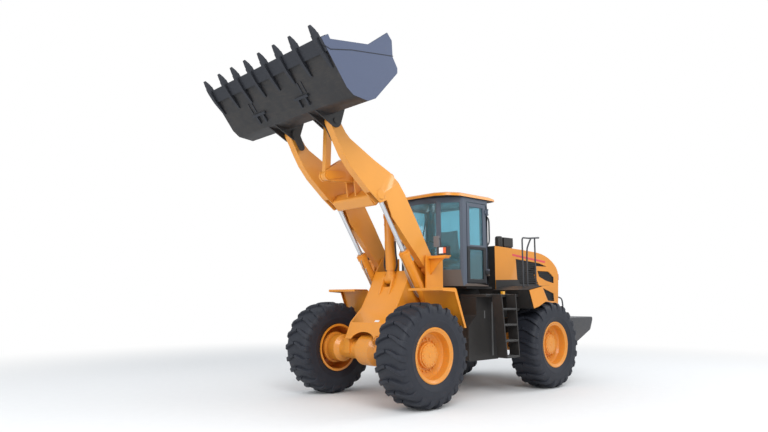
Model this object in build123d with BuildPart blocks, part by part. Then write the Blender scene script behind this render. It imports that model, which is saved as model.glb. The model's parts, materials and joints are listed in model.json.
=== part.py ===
"""Articulated wheel loader, bucket raised and rolled back.

Millimetres.  +X points forward, +Y to the machine's left and +Z up, with the ground at z = 0.
Lengths along the machine are measured from the steering pivot, halfway between the axles;
the pivot itself stands at pivot_x, so that the whole machine is centred on the origin.
Side profiles are drawn as (x, z), plans as (x, y).
"""
import os
from math import atan2, cos, degrees, hypot, radians, sin
from build123d import *

os.makedirs("parts", exist_ok=True)

# ---------------------------------------------------------------- driving dimensions
wheelbase = 3300
wheel_y = 1125                  # wheel centre from the machine's centre plane
tyre_radius = 780               # out to the tips of the lugs
tyre_width = 596
rim_radius = 388
clearance = 10                  # plain running clearance between pieces that move
pin_slack = 0.5                 # radial play of a pin in its bore
gap = 0.3                       # a seated piece lies this far from its seat

boom_foot = (830, 2150)         # pins in the centre plane, (x, z), bucket raised
bucket_pin = (2951, 4255)
crank_pin = (2053, 3644)
link_foot = (2641, 3548)
link_head = (2622, 4398)
tilt_foot = (1203, 1946)
tilt_head = (1290, 3676)
lift_foot = (830, 1430)
lift_head = (2009, 3252)

arm_y = 525                     # middle of a boom arm from the centre plane
arm_width = 135
arm_slot = 90                   # gap in the arm's underside for the rod's eye
pin_radius = 45
plate = 30                      # thickness of the heavy frame plates

bucket_width = 3000
bucket_plate = 25
bucket_angle = 52               # the floor's slope when rolled back
bucket_corner = (3917, 4988)    # where the floor meets the side plate's front

cab_half = 760                  # cab's side plane
cab_floor = 1830
cab_top = 3400
wall = 50                       # cab posts and panels
hood_half = 600
hood_wall = 12
counterweight_rear = -3385
steer_limit = 35

axle_x = wheelbase / 2


# ---------------------------------------------------------------- places and outlines
def turned(point, angle):
    """A point turned about the origin, in degrees."""
    c, s = cos(radians(angle)), sin(radians(angle))
    return (c * point[0] - s * point[1], s * point[0] + c * point[1])


def from_bucket(*points):
    """Points measured from the bucket's corner, along its floor and square to it."""
    moved = [turned(p, bucket_angle) for p in points]
    return [(bucket_corner[0] + p[0], bucket_corner[1] + p[1]) for p in moved]


boom_length = hypot(bucket_pin[0] - boom_foot[0], bucket_pin[1] - boom_foot[1])
boom_angle = degrees(atan2(bucket_pin[1] - boom_foot[1], bucket_pin[0] - boom_foot[0]))


def from_boom(*points):
    """Points measured from the boom's foot pin, along the line of its pins and square to it."""
    moved = [turned(p, boom_angle) for p in points]
    return [(boom_foot[0] + p[0], boom_foot[1] + p[1]) for p in moved]


tooth = from_bucket((-160, -20), (10, -20), (10, 30), (60, 30), (195, 2), (197, -43), (90, -60), (-160, -58))
pivot_x = -(max(p[0] for p in tooth) + counterweight_rear) / 2


def side(y):
    """The vertical plane at y, drawn on as (x from the pivot, z)."""
    return Plane(origin=(pivot_x, y, 0), x_dir=(1, 0, 0), z_dir=(0, -1, 0))


def level(z):
    """The level plane at z, drawn on as (x from the pivot, y)."""
    return Plane(origin=(pivot_x, 0, z), x_dir=(1, 0, 0), z_dir=(0, 0, 1))


def face_on(x):
    """The crosswise plane at x from the pivot, drawn on as (y, z) and facing backwards."""
    return Plane(origin=(pivot_x + x, 0, 0), x_dir=(0, 1, 0), z_dir=(1, 0, 0))


def both(hand, near, far):
    """The two y values of a piece from near to far of the centre plane, on one side."""
    return sorted((hand * near, hand * far))


def slab(points, y_low, y_high, corner=0, mode=Mode.ADD):
    """A plate drawn in side view that fills y_low to y_high."""
    with BuildSketch(side(y_high)) as outline:
        Polygon(*points, align=None)
        if corner:
            fillet(outline.vertices(), corner)
    extrude(outline.sketch, amount=y_high - y_low, mode=mode)


def deck(points, z_low, z_high, corner=0, mode=Mode.ADD):
    """A plate drawn in plan that fills z_low to z_high."""
    with BuildSketch(level(z_low)) as outline:
        Polygon(*points, align=None)
        if corner:
            fillet(outline.vertices(), corner)
    extrude(outline.sketch, amount=z_high - z_low, mode=mode)


def block(x_low, x_high, y_low, y_high, z_low, z_high, mode=Mode.ADD):
    """A box between two corners."""
    deck([(x_low, y_low), (x_high, y_low), (x_high, y_high), (x_low, y_high)], z_low, z_high, mode=mode)


def rod(point, radius, y_low, y_high, mode=Mode.ADD):
    """A crosswise cylinder, such as a pin, a boss or a bore."""
    with BuildSketch(side(y_high)) as outline:
        with Locations(point):
            Circle(radius)
    extrude(outline.sketch, amount=y_high - y_low, mode=mode)


def strap(start, end, start_radius, end_radius, y_low, y_high, mode=Mode.ADD):
    """A plate shaped as the hull of two circles."""
    with BuildSketch(side(y_high)) as outline:
        with Locations(start):
            Circle(start_radius)
        with Locations(end):
            Circle(end_radius)
        make_hull()
    extrude(outline.sketch, amount=y_high - y_low, mode=mode)


def along(start, end, y, near, far, radius, mode=Mode.ADD):
    """A round bar on the line from start to end in side view, near to far from start."""
    length = hypot(end[0] - start[0], end[1] - start[1])
    way = ((end[0] - start[0]) / length, (end[1] - start[1]) / length)
    foot = (pivot_x + start[0] + way[0] * near, y, start[1] + way[1] * near)
    with BuildSketch(Plane(origin=foot, x_dir=(0, 1, 0), z_dir=(way[0], 0, way[1]))) as outline:
        Circle(radius)
    extrude(outline.sketch, amount=far - near, mode=mode)


def tube(points, radius, bend):
    """A round rail bent through points of (x from the pivot, y, z)."""
    spots = [(pivot_x + p[0], p[1], p[2]) for p in points]
    with BuildLine() as route:
        path = FilletPolyline(*spots, radius=bend)
    with BuildSketch(Plane(origin=path @ 0, z_dir=path % 0)) as outline:
        Circle(radius)
    sweep(outline.sketch, path=route.wires()[0])


def finish(builder, label):
    builder.part.label = label
    export_step(builder.part, f"parts/{label}.step")


# ---------------------------------------------------------------- wheels
bead_width = 524                # rim from flange to flange
disc_out = 60                   # wheel disc from the tyre's middle plane, outboard
disc_thick = 28
hub_radius = 190
hub_face = 170                  # hub cap's outer face from the tyre's middle plane
for end, end_x in (("front", axle_x), ("rear", -axle_x)):
    for hand, out in (("left", 1), ("right", -1)):
        centre = (pivot_x + end_x, out * wheel_y, tyre_radius)
        # sections are drawn as (distance from the axle, distance outboard)
        section = Plane(origin=centre, x_dir=(0, 0, 1), z_dir=(-out, 0, 0))
        with BuildPart() as tyre:
            with BuildSketch(section):
                shoulder = tyre_width / 2
                half = [(rim_radius + gap, bead_width / 2 - 25), (rim_radius + 60, shoulder - 20),
                        (rim_radius + 190, shoulder), (tyre_radius - 80, shoulder - 8),
                        (tyre_radius - 14, shoulder - 60), (tyre_radius, shoulder - 160)]
                Polygon(*half, *[(r, -w) for r, w in reversed(half)], align=None)
            revolve(axis=Axis(centre, (0, 1, 0)))
        finish(tyre, f"tyre_{end}_{hand}")

        with BuildPart() as rim:
            with BuildSketch(section):
                inner = rim_radius - 22
                half = bead_width / 2
                Polygon((inner, -half), (rim_radius, -half), (rim_radius, half), (inner, half), align=None)
                low = disc_out - disc_thick / 2
                high = disc_out + disc_thick / 2
                Polygon((0, low), (inner + 5, low), (inner + 5, high), (hub_radius, high),
                        (hub_radius - 15, hub_face - 40), (hub_radius - 70, hub_face), (0, hub_face),
                        align=None)
            revolve(axis=Axis(centre, (0, 1, 0)))
        finish(rim, f"rim_{end}_{hand}")

# ---------------------------------------------------------------- axles
frame_y = 400                   # inner face of the front frame's side plates
rear_frame_y = 340
axle_tube = 140
seat_z = tyre_radius + axle_tube + 40       # top of the pads that the frames stand on
pad_half = 190
hub_end = wheel_y + disc_out - disc_thick / 2 - clearance
for end, end_x, seat_y in (("front", axle_x, frame_y), ("rear", -axle_x, rear_frame_y)):
    with BuildPart() as axle:
        centre = (pivot_x + end_x, 0, tyre_radius)
        with BuildSketch(Plane(origin=centre, x_dir=(0, 0, 1), z_dir=(-1, 0, 0))):
            Polygon((0, -hub_end), (axle_tube, -hub_end), (axle_tube, -910), (230, -890), (230, -720),
                    (axle_tube + 20, -660), (axle_tube + 20, -240), (250, -150), (250, 150),
                    (axle_tube + 20, 240), (axle_tube + 20, 660), (230, 720), (230, 890),
                    (axle_tube, 910), (axle_tube, hub_end), (0, hub_end), align=None)
        revolve(axis=Axis(centre, (0, 1, 0)))
        for hand in (1, -1):
            y_low, y_high = both(hand, seat_y - 40, (seat_y + plate + 60))
            block(end_x - pad_half, end_x + pad_half, y_low, y_high, tyre_radius - 60, seat_z)
    finish(axle, f"axle_{end}")

# ---------------------------------------------------------------- front frame
steer_foot = (-850, 195)        # steering cylinder's two ends in plan, left hand
steer_head = (100, 262)
steer_z = 1080
steer_plates = ((1028, 1048), (1112, 1132))     # eye plates below and above each end
ear_radius = 130                # rounding of the steering ears about their pin
steer_pin = 55
ear_low = (650, 700)            # heights of the front frame's two steering ears
ear_high = (1340, 1390)
tower_back = 619
tower_front = 1036
tower_top = 2330
tower_foot = 1345
tower_y = 622                   # inner face of the outer tower plate
front_back = 350                # crosswise plate that carries the ears
face = [(1190, 2080), (1300, 1830), (1510, 1465), (1760, 1225), (1872, seat_z + gap)]
face_plate = 25
tie_down = (815, 720)            # tie-down eyes in the side plates
tilt_notch = 115                # half width of the notch in the front plate
tilt_bracket_y = (100, 130)
tie_radius = 32
waist_y = 240                   # inner face of the side plates where they are drawn in at the pivot
flare = (650, 760)              # where the side plates spread to their full width
lift_pins = (boom_foot, lift_foot)
with BuildPart() as front_frame:
    block(front_back, front_back + plate, -frame_y, frame_y, 600, 1440)
    half_floor = [(front_back + plate, waist_y), (flare[0], waist_y), (flare[1], frame_y), (1000, frame_y)]
    deck([*half_floor, *[(x, -y) for x, y in reversed(half_floor)]], 600, 600 + face_plate)
    for low, high in (ear_low, ear_high):
        with BuildSketch(level(low)):
            Circle(ear_radius)
            with Locations((front_back + plate / 2, 0)):
                Rectangle(plate, 2 * frame_y - 100)
            make_hull()
        extrude(amount=high - low)
    for hand in (1, -1):
        for low, high in steer_plates:
            block(steer_head[0] - 50, front_back, *both(hand, steer_head[1] - 48, steer_head[1] + 48), low, high)
    with BuildSketch(level(600)):
        Circle(steer_pin + pin_slack)
    extrude(amount=900, mode=Mode.SUBTRACT)
finish(front_frame, "front_frame")

with BuildPart() as frame_sides:
    for hand in (1, -1):
        y_low, y_high = both(hand, frame_y, frame_y + plate)
        slab([(flare[1], 600), (1000, 600), (1300, seat_z + gap), *reversed(face), (tower_front, tower_top),
              (tower_back, tower_top), (tower_back, tower_foot), (flare[1], tower_foot)], y_low, y_high)
        deck([(x, hand * y) for x, y in (
            (front_back + plate, waist_y), (flare[0], waist_y), (flare[1], frame_y),
            (flare[1], frame_y + plate), (flare[0] - 8, waist_y + plate), (front_back + plate, waist_y + plate))],
            600, 1440)
    for point in lift_pins:
        rod(point, pin_radius + pin_slack, -frame_y - plate, frame_y + plate, mode=Mode.SUBTRACT)
    rod(tie_down, tie_radius, -frame_y - plate, frame_y + plate, mode=Mode.SUBTRACT)
finish(frame_sides, "front_frame_sides")

with BuildPart() as front_plate:
    back_face = [(x - face_plate, z) for x, z in face]
    slab([*face, *reversed(back_face)], -frame_y, frame_y)
    # the arch over the axle and the notch that the tilt cylinder lies down into
    rod((axle_x, tyre_radius), 275, -300, 300, mode=Mode.SUBTRACT)
    block(1100, 1400, -tilt_notch, tilt_notch, 1815, 2100, mode=Mode.SUBTRACT)
    for hand in (1, -1):
        y_low, y_high = both(hand, *tilt_bracket_y)
        strap(tilt_foot, (1330, 1690), 95, 60, y_low, y_high)
    rod(tilt_foot, pin_radius + pin_slack, -tilt_bracket_y[1] - 13, tilt_bracket_y[1] + 13, mode=Mode.SUBTRACT)
finish(front_plate, "front_plate")

with BuildPart() as towers:
    for hand in (1, -1):
        y_low, y_high = both(hand, tower_y, tower_y + plate)
        slab([(tower_back, tower_foot), (tower_front, tower_foot), (tower_front, tower_top),
              (tower_back, tower_top)], y_low, y_high)
        y_low, y_high = both(hand, frame_y + plate, tower_y)
        block(tower_back, tower_back + face_plate, y_low, y_high, tower_foot, tower_top)
        block(tower_back, lift_foot[0] + 50, y_low, y_high, tower_foot, tower_foot + 15)
    for point in lift_pins:
        rod(point, pin_radius + pin_slack, -tower_y - plate, tower_y + plate, mode=Mode.SUBTRACT)
finish(towers, "lift_towers")

with BuildPart() as front_pins:
    for hand in (1, -1):
        for point in (boom_foot, lift_foot):
            y_low, y_high = both(hand, frame_y - 12, (tower_y + plate + 12))
            rod(point, pin_radius, y_low, y_high)
            y_low, y_high = both(hand, tower_y + plate + gap, (tower_y + plate + 14))
            rod(point, pin_radius + 22, y_low, y_high)
finish(front_pins, "front_pins")

fender_y = (664, 1390)
fender_sheet = 12
with BuildPart() as front_fenders:
    for hand in (1, -1):
        y_low, y_high = both(hand, fender_y[0], fender_y[1])
        outline = [(2210, 1700), (2210, 1780), (1165, 1780), (920, 1163)]
        inside = [(932, 1163), (1173, 1768), (2198, 1768), (2198, 1700)]
        slab([*outline, *inside], y_low, y_high)
        y_low, y_high = both(hand, tower_y + plate + gap, (fender_y[0] + 60))
        block(960, tower_front - 10, y_low, y_high, 1500, 1580)
        block(960, tower_front - 10, *sorted((hand * (fender_y[0] + 20), hand * (fender_y[0] + 60))), 1300, 1580)
finish(front_fenders, "front_fenders")

lamp_y = 950
with BuildPart() as headlamps:
    for hand in (1, -1):
        y_low, y_high = both(hand, tower_y + plate + gap, lamp_y + 60)
        block(860, 990, y_low, y_high, 2270, 2310)
        y_low, y_high = both(hand, tower_y + plate + gap, tower_y + plate + 130)
        block(900, 930, y_low, y_high, 2130, 2270)
        y_low, y_high = both(hand, lamp_y - 100, lamp_y + 100)
        block(880, 980, y_low, y_high, 2310, 2460)
finish(headlamps, "headlamps")

# ---------------------------------------------------------------- boom
arm_top = [(143, 120), (753, 268), (1249, 372), (1500, 398), (1740, 362), (2087, 226), (2331, 150),
           (2620, 60), (boom_length - 144, 45)]
arm_bottom = [(boom_length - 178, -140), (2515, -215), (2250, -234), (1814, -198), (1263, -110),
              (671, -130), (90, -135)]
arm_low = arm_y - arm_width / 2
arm_high = arm_y + arm_width / 2
boss = 15                       # bosses stand this far off the arm's faces
beam_middle = (1590, -57)
barrel_hollow = [(1215, -100), (1215, -300), (1545, -300), (1532, -190), (1458, -12)]
for hand, name in ((1, "left"), (-1, "right")):
    with BuildPart() as arm:
        y_low, y_high = both(hand, arm_low, arm_high)
        slab(from_boom(*arm_top, *arm_bottom), y_low, y_high, corner=30)
        rod(boom_foot, 140, y_low, y_high)
        rod(bucket_pin, 92, y_low, y_high)
        strap(bucket_pin, from_boom((boom_length - 230, -45))[0], 92, 100, y_low, y_high)
        rod(boom_foot, 110, *both(hand, arm_low - boss, arm_high + boss))
        rod(lift_head, 80, *both(hand, arm_y, arm_high + boss))
        rod(bucket_pin, 80, *both(hand, arm_low, arm_high))
        # the slot that the lift cylinder's rod comes up into
        y_low, y_high = both(hand, arm_y - arm_slot / 2, arm_y + arm_slot / 2)
        slab(from_boom((980, -400), (1050, -40), (1500, 75), (1750, 75), (1780, -400)), y_low, y_high,
             mode=Mode.SUBTRACT)
        # the hollow that the lift barrel's end comes up into when the boom is down
        slab(from_boom(*barrel_hollow), *both(hand, arm_low, arm_high), mode=Mode.SUBTRACT)
        y_low, y_high = both(hand, arm_low - boss, arm_high + boss)
        rod(boom_foot, pin_radius + pin_slack, y_low, y_high, mode=Mode.SUBTRACT)
        rod(bucket_pin, pin_radius + pin_slack, y_low, y_high, mode=Mode.SUBTRACT)
    finish(arm, f"boom_arm_{name}")

bracket_y = (87, 117)
crank_half = 75
with BuildPart() as beam:
    half_x, half_z = 110, 118
    corners = [(beam_middle[0] + dx, beam_middle[1] + dz)
               for dx, dz in ((-half_x, -half_z), (half_x, -half_z), (half_x, half_z), (-half_x, half_z))]
    slab(from_boom(*corners), -arm_low, arm_low, corner=45)
    for hand in (1, -1):
        y_low, y_high = both(hand, *bracket_y)
        strap(crank_pin, from_boom(beam_middle)[0], 115, 112, y_low, y_high)
        rod(crank_pin, pin_radius + pin_slack, *both(hand, 0, 200), mode=Mode.SUBTRACT)
finish(beam, "boom_crossbeam")

# ---------------------------------------------------------------- tilt linkage
eye_half = 42                   # half width of the eyes that sit in a fork
fork_gap = 47
fork_depth = 390                # bellcrank's fork behind the tilt rod's pin
with BuildPart() as crank_pin_piece:
    rod(crank_pin, pin_radius, -bracket_y[1] - 12, bracket_y[1] + 12)
    for hand in (1, -1):
        rod(crank_pin, pin_radius + 25, *both(hand, bracket_y[1] + gap, bracket_y[1] + 16))
finish(crank_pin_piece, "bellcrank_pin")

with BuildPart() as bellcrank:
    strap(crank_pin, tilt_head, 130, 88, -crank_half, crank_half)
    strap(crank_pin, link_foot, 130, 88, -crank_half, crank_half)
    with BuildSketch(side(crank_half)) as outline:
        for point, radius in ((crank_pin, 130), (link_foot, 88), ((2290, 3790), 80), ((1900, 3760), 60)):
            with Locations(point):
                Circle(radius)
        make_hull()
    extrude(outline.sketch, amount=2 * crank_half)
    # forks for the tilt rod's eye and for the link
    x, z = tilt_head
    slab([(x - 200, z - 250), (x + fork_depth, z - 250), (x + fork_depth, z + 250), (x - 200, z + 250)],
         -fork_gap, fork_gap, mode=Mode.SUBTRACT)
    x, z = link_foot
    slab([(x - 140, z - 250), (x + 250, z - 250), (x + 250, z + 500), (x - 350, z + 500), (x - 140, z)],
         -fork_gap, fork_gap, mode=Mode.SUBTRACT)
    rod(crank_pin, pin_radius + pin_slack, -crank_half, crank_half, mode=Mode.SUBTRACT)
    rod(link_foot, pin_radius + pin_slack, -crank_half, crank_half, mode=Mode.SUBTRACT)
finish(bellcrank, "bellcrank")

keeper = 24                     # keeper plate on each end of the link's pin
keeper_length = 280
with BuildPart() as link_pin:
    rod(link_foot, pin_radius, -crank_half - 1 - keeper, crank_half + 1 + keeper)
    reach = hypot(crank_pin[0] - link_foot[0], crank_pin[1] - link_foot[1])
    keeper_end = tuple(a + (b - a) * keeper_length / reach for a, b in zip(link_foot, crank_pin))
    for hand in (1, -1):
        strap(link_foot, keeper_end, 66, 56, *both(hand, crank_half + 1, crank_half + 1 + keeper))
finish(link_pin, "link_pin")

with BuildPart() as link:
    strap(link_foot, link_head, 52, 52, -eye_half, eye_half)
    rod(link_foot, 78, -eye_half, eye_half)
    rod(link_head, 78, -eye_half, eye_half)
    rod(link_foot, pin_radius + pin_slack, -eye_half, eye_half, mode=Mode.SUBTRACT)
finish(link, "bucket_link")

# ---------------------------------------------------------------- cylinders
def cylinder(name, foot, head, y, eye, barrel_radius, barrel_end, rod_radius, rod_length, mouth, foot_eye, neck):
    """A barrel on its foot pin and a rod that slides in it, each written as its own piece."""
    reach = hypot(head[0] - foot[0], head[1] - foot[1])
    hands = (1, -1) if y else (1,)
    with BuildPart() as barrel:
        for hand in hands:
            middle = hand * y
            along(foot, head, middle, mouth, barrel_end, barrel_radius)
            along(foot, head, middle, barrel_end, barrel_end + 30, barrel_radius - 12)
            along(foot, head, middle, 0, mouth, neck)
            rod(foot, foot_eye, middle - eye, middle + eye)
            along(foot, head, middle, mouth + 40, barrel_end + 30, rod_radius + pin_slack, mode=Mode.SUBTRACT)
            rod(foot, pin_radius + pin_slack, middle - eye, middle + eye, mode=Mode.SUBTRACT)
    finish(barrel, f"{name}_barrel")
    with BuildPart() as ram:
        for hand in hands:
            middle = hand * y
            along(foot, head, middle, reach - rod_length, reach - 40, rod_radius)
            rod(head, 70, middle - 40, middle + 40)
            rod(head, 30, middle - 40, middle + 40, mode=Mode.SUBTRACT)
    finish(ram, f"{name}_rod")


cylinder("lift", lift_foot, lift_head, arm_y, 75, 78, 1110, 38, 1130, 110, 62, 43)
cylinder("tilt", tilt_foot, tilt_head, 0, 95, 80, 1115, 38, 1095, 130, 90, 92)
with BuildPart() as tilt_pin:
    rod(tilt_foot, pin_radius, -tilt_bracket_y[1] - 12, tilt_bracket_y[1] + 12)
finish(tilt_pin, "tilt_pin")

# ---------------------------------------------------------------- bucket
shell = [(0, 0), (-723, 0), (-861, 44), (-1043, 238), (-1076, 396), (-963, 1019), (-902, 1067),
         (-730, 1081), (-527, 1216)]
cheek = [*shell, (-394, 1201), (-394, 738), (-76, 137), (-10, 143)]
half_width = bucket_width / 2
ear_y = ((425, 450), (600, 625))
link_ear_y = (47, 77)


def inset(points, depth):
    """An open outline moved inwards by depth, square to its segments."""
    moved = []
    for i, (x, z) in enumerate(points):
        turns = []
        for a, b in ((i - 1, i), (i, i + 1)):
            if 0 <= a and b < len(points):
                dx, dz = points[b][0] - points[a][0], points[b][1] - points[a][1]
                size = hypot(dx, dz)
                turns.append((dz / size, -dx / size))
        nx, nz = (sum(t[k] for t in turns) / len(turns) for k in (0, 1))
        scale = depth / (nx * nx + nz * nz)
        moved.append((x + nx * scale, z + nz * scale))
    return moved


with BuildPart() as bucket:
    slab(from_bucket(*shell, *reversed(inset(shell, bucket_plate))), -half_width + 5, half_width - 5)
    for hand in (1, -1):
        slab(from_bucket(*cheek), *both(hand, half_width - bucket_plate, half_width))
        for near, far in ear_y:
            with BuildSketch(side(both(hand, near, far)[1])) as outline:
                for point, radius in ((bucket_pin, 105), *((p, 15) for p in from_bucket(
                        (-870, 70), (-1030, 245), (-1062, 400), (-1010, 690)))):
                    with Locations(point):
                        Circle(radius)
                make_hull()
            extrude(outline.sketch, amount=far - near)
            rod(bucket_pin, pin_radius + pin_slack, *both(hand, near, far), mode=Mode.SUBTRACT)
        near, far = link_ear_y
        with BuildSketch(side(both(hand, near, far)[1])) as outline:
            for point, radius in ((link_head, 95), *((p, 15) for p in from_bucket((-1052, 480), (-980, 890)))):
                with Locations(point):
                    Circle(radius)
            make_hull()
        extrude(outline.sketch, amount=far - near)
    slab(from_bucket(*inset(shell, bucket_plate)), -half_width + bucket_plate, half_width - bucket_plate,
         mode=Mode.SUBTRACT)
finish(bucket, "bucket")

tooth_count = 8
tooth_half = 45
with BuildPart() as teeth:
    pitch = (bucket_width - 2 * (tooth_half + 20)) / (tooth_count - 1)
    slab(from_bucket((-170, -gap), (-170, -32), (40, -32), (60, -gap)), -half_width, half_width)
    for i in range(tooth_count):
        middle = (i - (tooth_count - 1) / 2) * pitch
        slab(tooth, middle - tooth_half, middle + tooth_half)
finish(teeth, "bucket_teeth")

flag = 24                       # flag plate that keeps each bucket pin from turning
flag_length = 230
with BuildPart() as bucket_pins:
    for hand in (1, -1):
        rod(bucket_pin, pin_radius, *both(hand, ear_y[0][0] - flag - 1, ear_y[1][1] + 10))
        strap(bucket_pin, from_boom((boom_length - flag_length, -60))[0], 70, 55,
              *both(hand, ear_y[0][0] - flag - 1, ear_y[0][0] - 1))
finish(bucket_pins, "bucket_pins")

# ---------------------------------------------------------------- rear frame
fork_low = ((600, 640), (710, 750))         # the plates either side of the front frame's ears
fork_high = ((1290, 1330), (1400, 1440))
rear_back = -2425               # rear frame's end, where the counterweight is bolted
deck_z = 1790                   # top of the side plates under the cab
tank_y = (600, 950)
with BuildPart() as rear_frame:
    for hand in (1, -1):
        # eye plates and pin of the steering cylinder's foot
        for low, high in steer_plates:
            block(steer_foot[0] - 50, steer_foot[0] + 50, *both(hand, steer_foot[1] - 50, rear_frame_y), low, high)
        with BuildSketch(level(steer_plates[0][0])):
            with Locations((steer_foot[0], hand * steer_foot[1])):
                Circle(25)
        extrude(amount=steer_plates[1][1] - steer_plates[0][0])
    block(-front_back - plate, -front_back, -rear_frame_y, rear_frame_y, 600, steer_z - 80)
    block(-front_back - plate, -front_back, -rear_frame_y, rear_frame_y, steer_z + 80, 1440)
    block(rear_back, rear_back + plate, -rear_frame_y, rear_frame_y, 800, 1240)
    block(-950, -front_back, -rear_frame_y, rear_frame_y, 700, 720)
    for low, high in (*fork_low, *fork_high):
        with BuildSketch(level(low)):
            Circle(ear_radius)
            with Locations((-front_back - plate / 2, 0)):
                Rectangle(plate, 2 * rear_frame_y - 60)
            make_hull()
        extrude(amount=high - low)
    with BuildSketch(level(600)):
        Circle(steer_pin + pin_slack)
    extrude(amount=900, mode=Mode.SUBTRACT)
finish(rear_frame, "rear_frame")

with BuildPart() as frame_rails:
    for hand in (1, -1):
        y_low, y_high = both(hand, rear_frame_y, rear_frame_y + plate)
        slab([(-front_back, 600), (-950, 640), (-1300, seat_z + gap), (-2050, seat_z + gap), (rear_back, 800),
              (rear_back, 1240), (-890, 1240), (-820, 1440), (-700, deck_z), (80, deck_z), (80, 1700),
              (-front_back, 1440)], y_low, y_high)
        # outrigger that carries the side tank
        block(-460, -380, *both(hand, rear_frame_y + plate, tank_y[0] - gap), 700, 1000)
    block(-640, 80, -720, 720, deck_z, cab_floor - gap)
finish(frame_rails, "rear_frame_rails")

with BuildPart() as steer_pins:
    for low, high in ((fork_low[0][0], fork_low[1][1]), (fork_high[0][0], fork_high[1][1])):
        with BuildSketch(level(low - 15)):
            Circle(steer_pin)
        extrude(amount=high - low + 30)
finish(steer_pins, "steering_pins")

# ---------------------------------------------------------------- steering cylinders
for hand, name in ((1, "left"), (-1, "right")):
    foot = (steer_foot[0], hand * steer_foot[1])
    head = (steer_head[0], hand * steer_head[1])
    reach = hypot(head[0] - foot[0], head[1] - foot[1])
    way = ((head[0] - foot[0]) / reach, (head[1] - foot[1]) / reach)

    def bar(near, far, radius, mode=Mode.ADD):
        """A round bar on the cylinder's line."""
        origin = (pivot_x + foot[0] + way[0] * near, foot[1] + way[1] * near, steer_z)
        with BuildSketch(Plane(origin=origin, x_dir=(0, 0, 1), z_dir=(*way, 0))) as outline:
            Circle(radius)
        extrude(outline.sketch, amount=far - near, mode=mode)

    with BuildPart() as barrel:
        bar(70, 640, 45)
        bar(0, 70, 22)
        with BuildSketch(level(steer_z - 25)):
            with Locations(foot):
                Circle(50)
        extrude(amount=50)
        bar(100, 640, 22 + pin_slack, mode=Mode.SUBTRACT)
        with BuildSketch(level(steer_z - 60)):
            with Locations(foot):
                Circle(25 + pin_slack)
        extrude(amount=120, mode=Mode.SUBTRACT)
    finish(barrel, f"steering_barrel_{name}")
    with BuildPart() as ram:
        bar(reach - 580, reach - 30, 22)
        with BuildSketch(level(steer_z - 25)):
            with Locations(head):
                Circle(45)
                Circle(20, mode=Mode.SUBTRACT)
        extrude(amount=50)
    finish(ram, f"steering_rod_{name}")

# ---------------------------------------------------------------- counterweight and engine
with BuildPart() as counterweight:
    slab([(rear_back - 6, 1250), (counterweight_rear, 1250), (counterweight_rear, 1180), (-3280, 988),
          (-2576, 702), (rear_back - 6, 702)], -1200, 1200)
    # a slot with an upright bore for the towing pin
    hitch = (-3270, 0)
    block(counterweight_rear - 10, -3180, -90, 90, 1070, 1160, mode=Mode.SUBTRACT)
    block(-3345, -3195, -90, 90, 800, 1000, mode=Mode.SUBTRACT)
    with BuildSketch(level(900)):
        with Locations(hitch):
            Circle(26)
    extrude(amount=500, mode=Mode.SUBTRACT)
finish(counterweight, "counterweight")

with BuildPart() as engine:
    block(-2350, -1250, -rear_frame_y + gap, rear_frame_y - gap, tyre_radius + 280, 2050)
finish(engine, "engine_block")

# ---------------------------------------------------------------- hood
hood_foot = 1250
hood = [(-917, hood_foot + gap), (-917, 2603), (-2640, 2498), (-3124, 2224), (-3076, 1510),
        (-3076, hood_foot + gap)]
hood_inside = [(-917 - hood_wall, hood_foot), (-917 - hood_wall, 2603 - hood_wall), (-2636, 2498 - hood_wall),
               (-3124 + hood_wall, 2216), (-3076 + hood_wall, 1510), (-3076 + hood_wall, hood_foot)]
grille = [(-1600, 1720), (-1600, 2330), (-2600, 2280), (-2900, 2100), (-2900, 1720)]
grille_margin = 6
door_y = 480
back_hinge = (-3150, door_y + 22)
back_hinge_z = (1400, 1900)


def back_hinge_pins():
    """Hinge brackets and pins on the hood's back, for the grille door."""
    for z in back_hinge_z:
        for low, high in ((z - 30, z - 2), (z + 62, z + 90)):
            block(back_hinge[0] - 12, -3070, back_hinge[1] - 8, back_hinge[1] + 30, low, high)
        with BuildSketch(level(z - 30)) as outline:
            with Locations(back_hinge):
                Circle(10)
        extrude(outline.sketch, amount=120)


with BuildPart() as bonnet:
    slab(hood, -hood_half, hood_half)
    slab(hood_inside, -hood_half + hood_wall, hood_half - hood_wall, mode=Mode.SUBTRACT)
    slab(grille, -hood_half, hood_half, mode=Mode.SUBTRACT)
    block(-3200, -3000, -door_y - clearance, door_y + clearance, 1330, 2160, mode=Mode.SUBTRACT)
    back_hinge_pins()
finish(bonnet, "engine_hood")

with BuildPart() as grilles:
    for hand in (1, -1):
        slab([(-1600 - gap, 1720 + gap), (-1600 - gap, 2330 - gap), (-2600, 2280 - gap), (-2900 + gap, 2100),
              (-2900 + gap, 1720 + gap)], *both(hand, hood_half - hood_wall, hood_half))
finish(grilles, "side_grilles")


def rear_face(z):
    """The hood's rear face at height z."""
    return -3076 - 48 * max(0, z - 1510) / 714


with BuildPart() as rear_door:
    slab([(rear_face(z) + dx, z) for z, dx in ((1340, 0), (1510, 0), (2150, 0), (2150, 25), (1510, 25), (1340, 25))],
         -door_y, door_y)
    for z in back_hinge_z:
        block(back_hinge[0], rear_face(z) + 10, door_y - 30, door_y, z, z + 60)
        block(back_hinge[0] - 8, back_hinge[0] + 8, door_y - 30, back_hinge[1], z, z + 60)
        for radius, mode in ((20, Mode.ADD), (10 + pin_slack, Mode.SUBTRACT)):
            with BuildSketch(level(z)):
                with Locations(back_hinge):
                    Circle(radius)
            extrude(amount=60, mode=mode)
finish(rear_door, "rear_grille_door")

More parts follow.
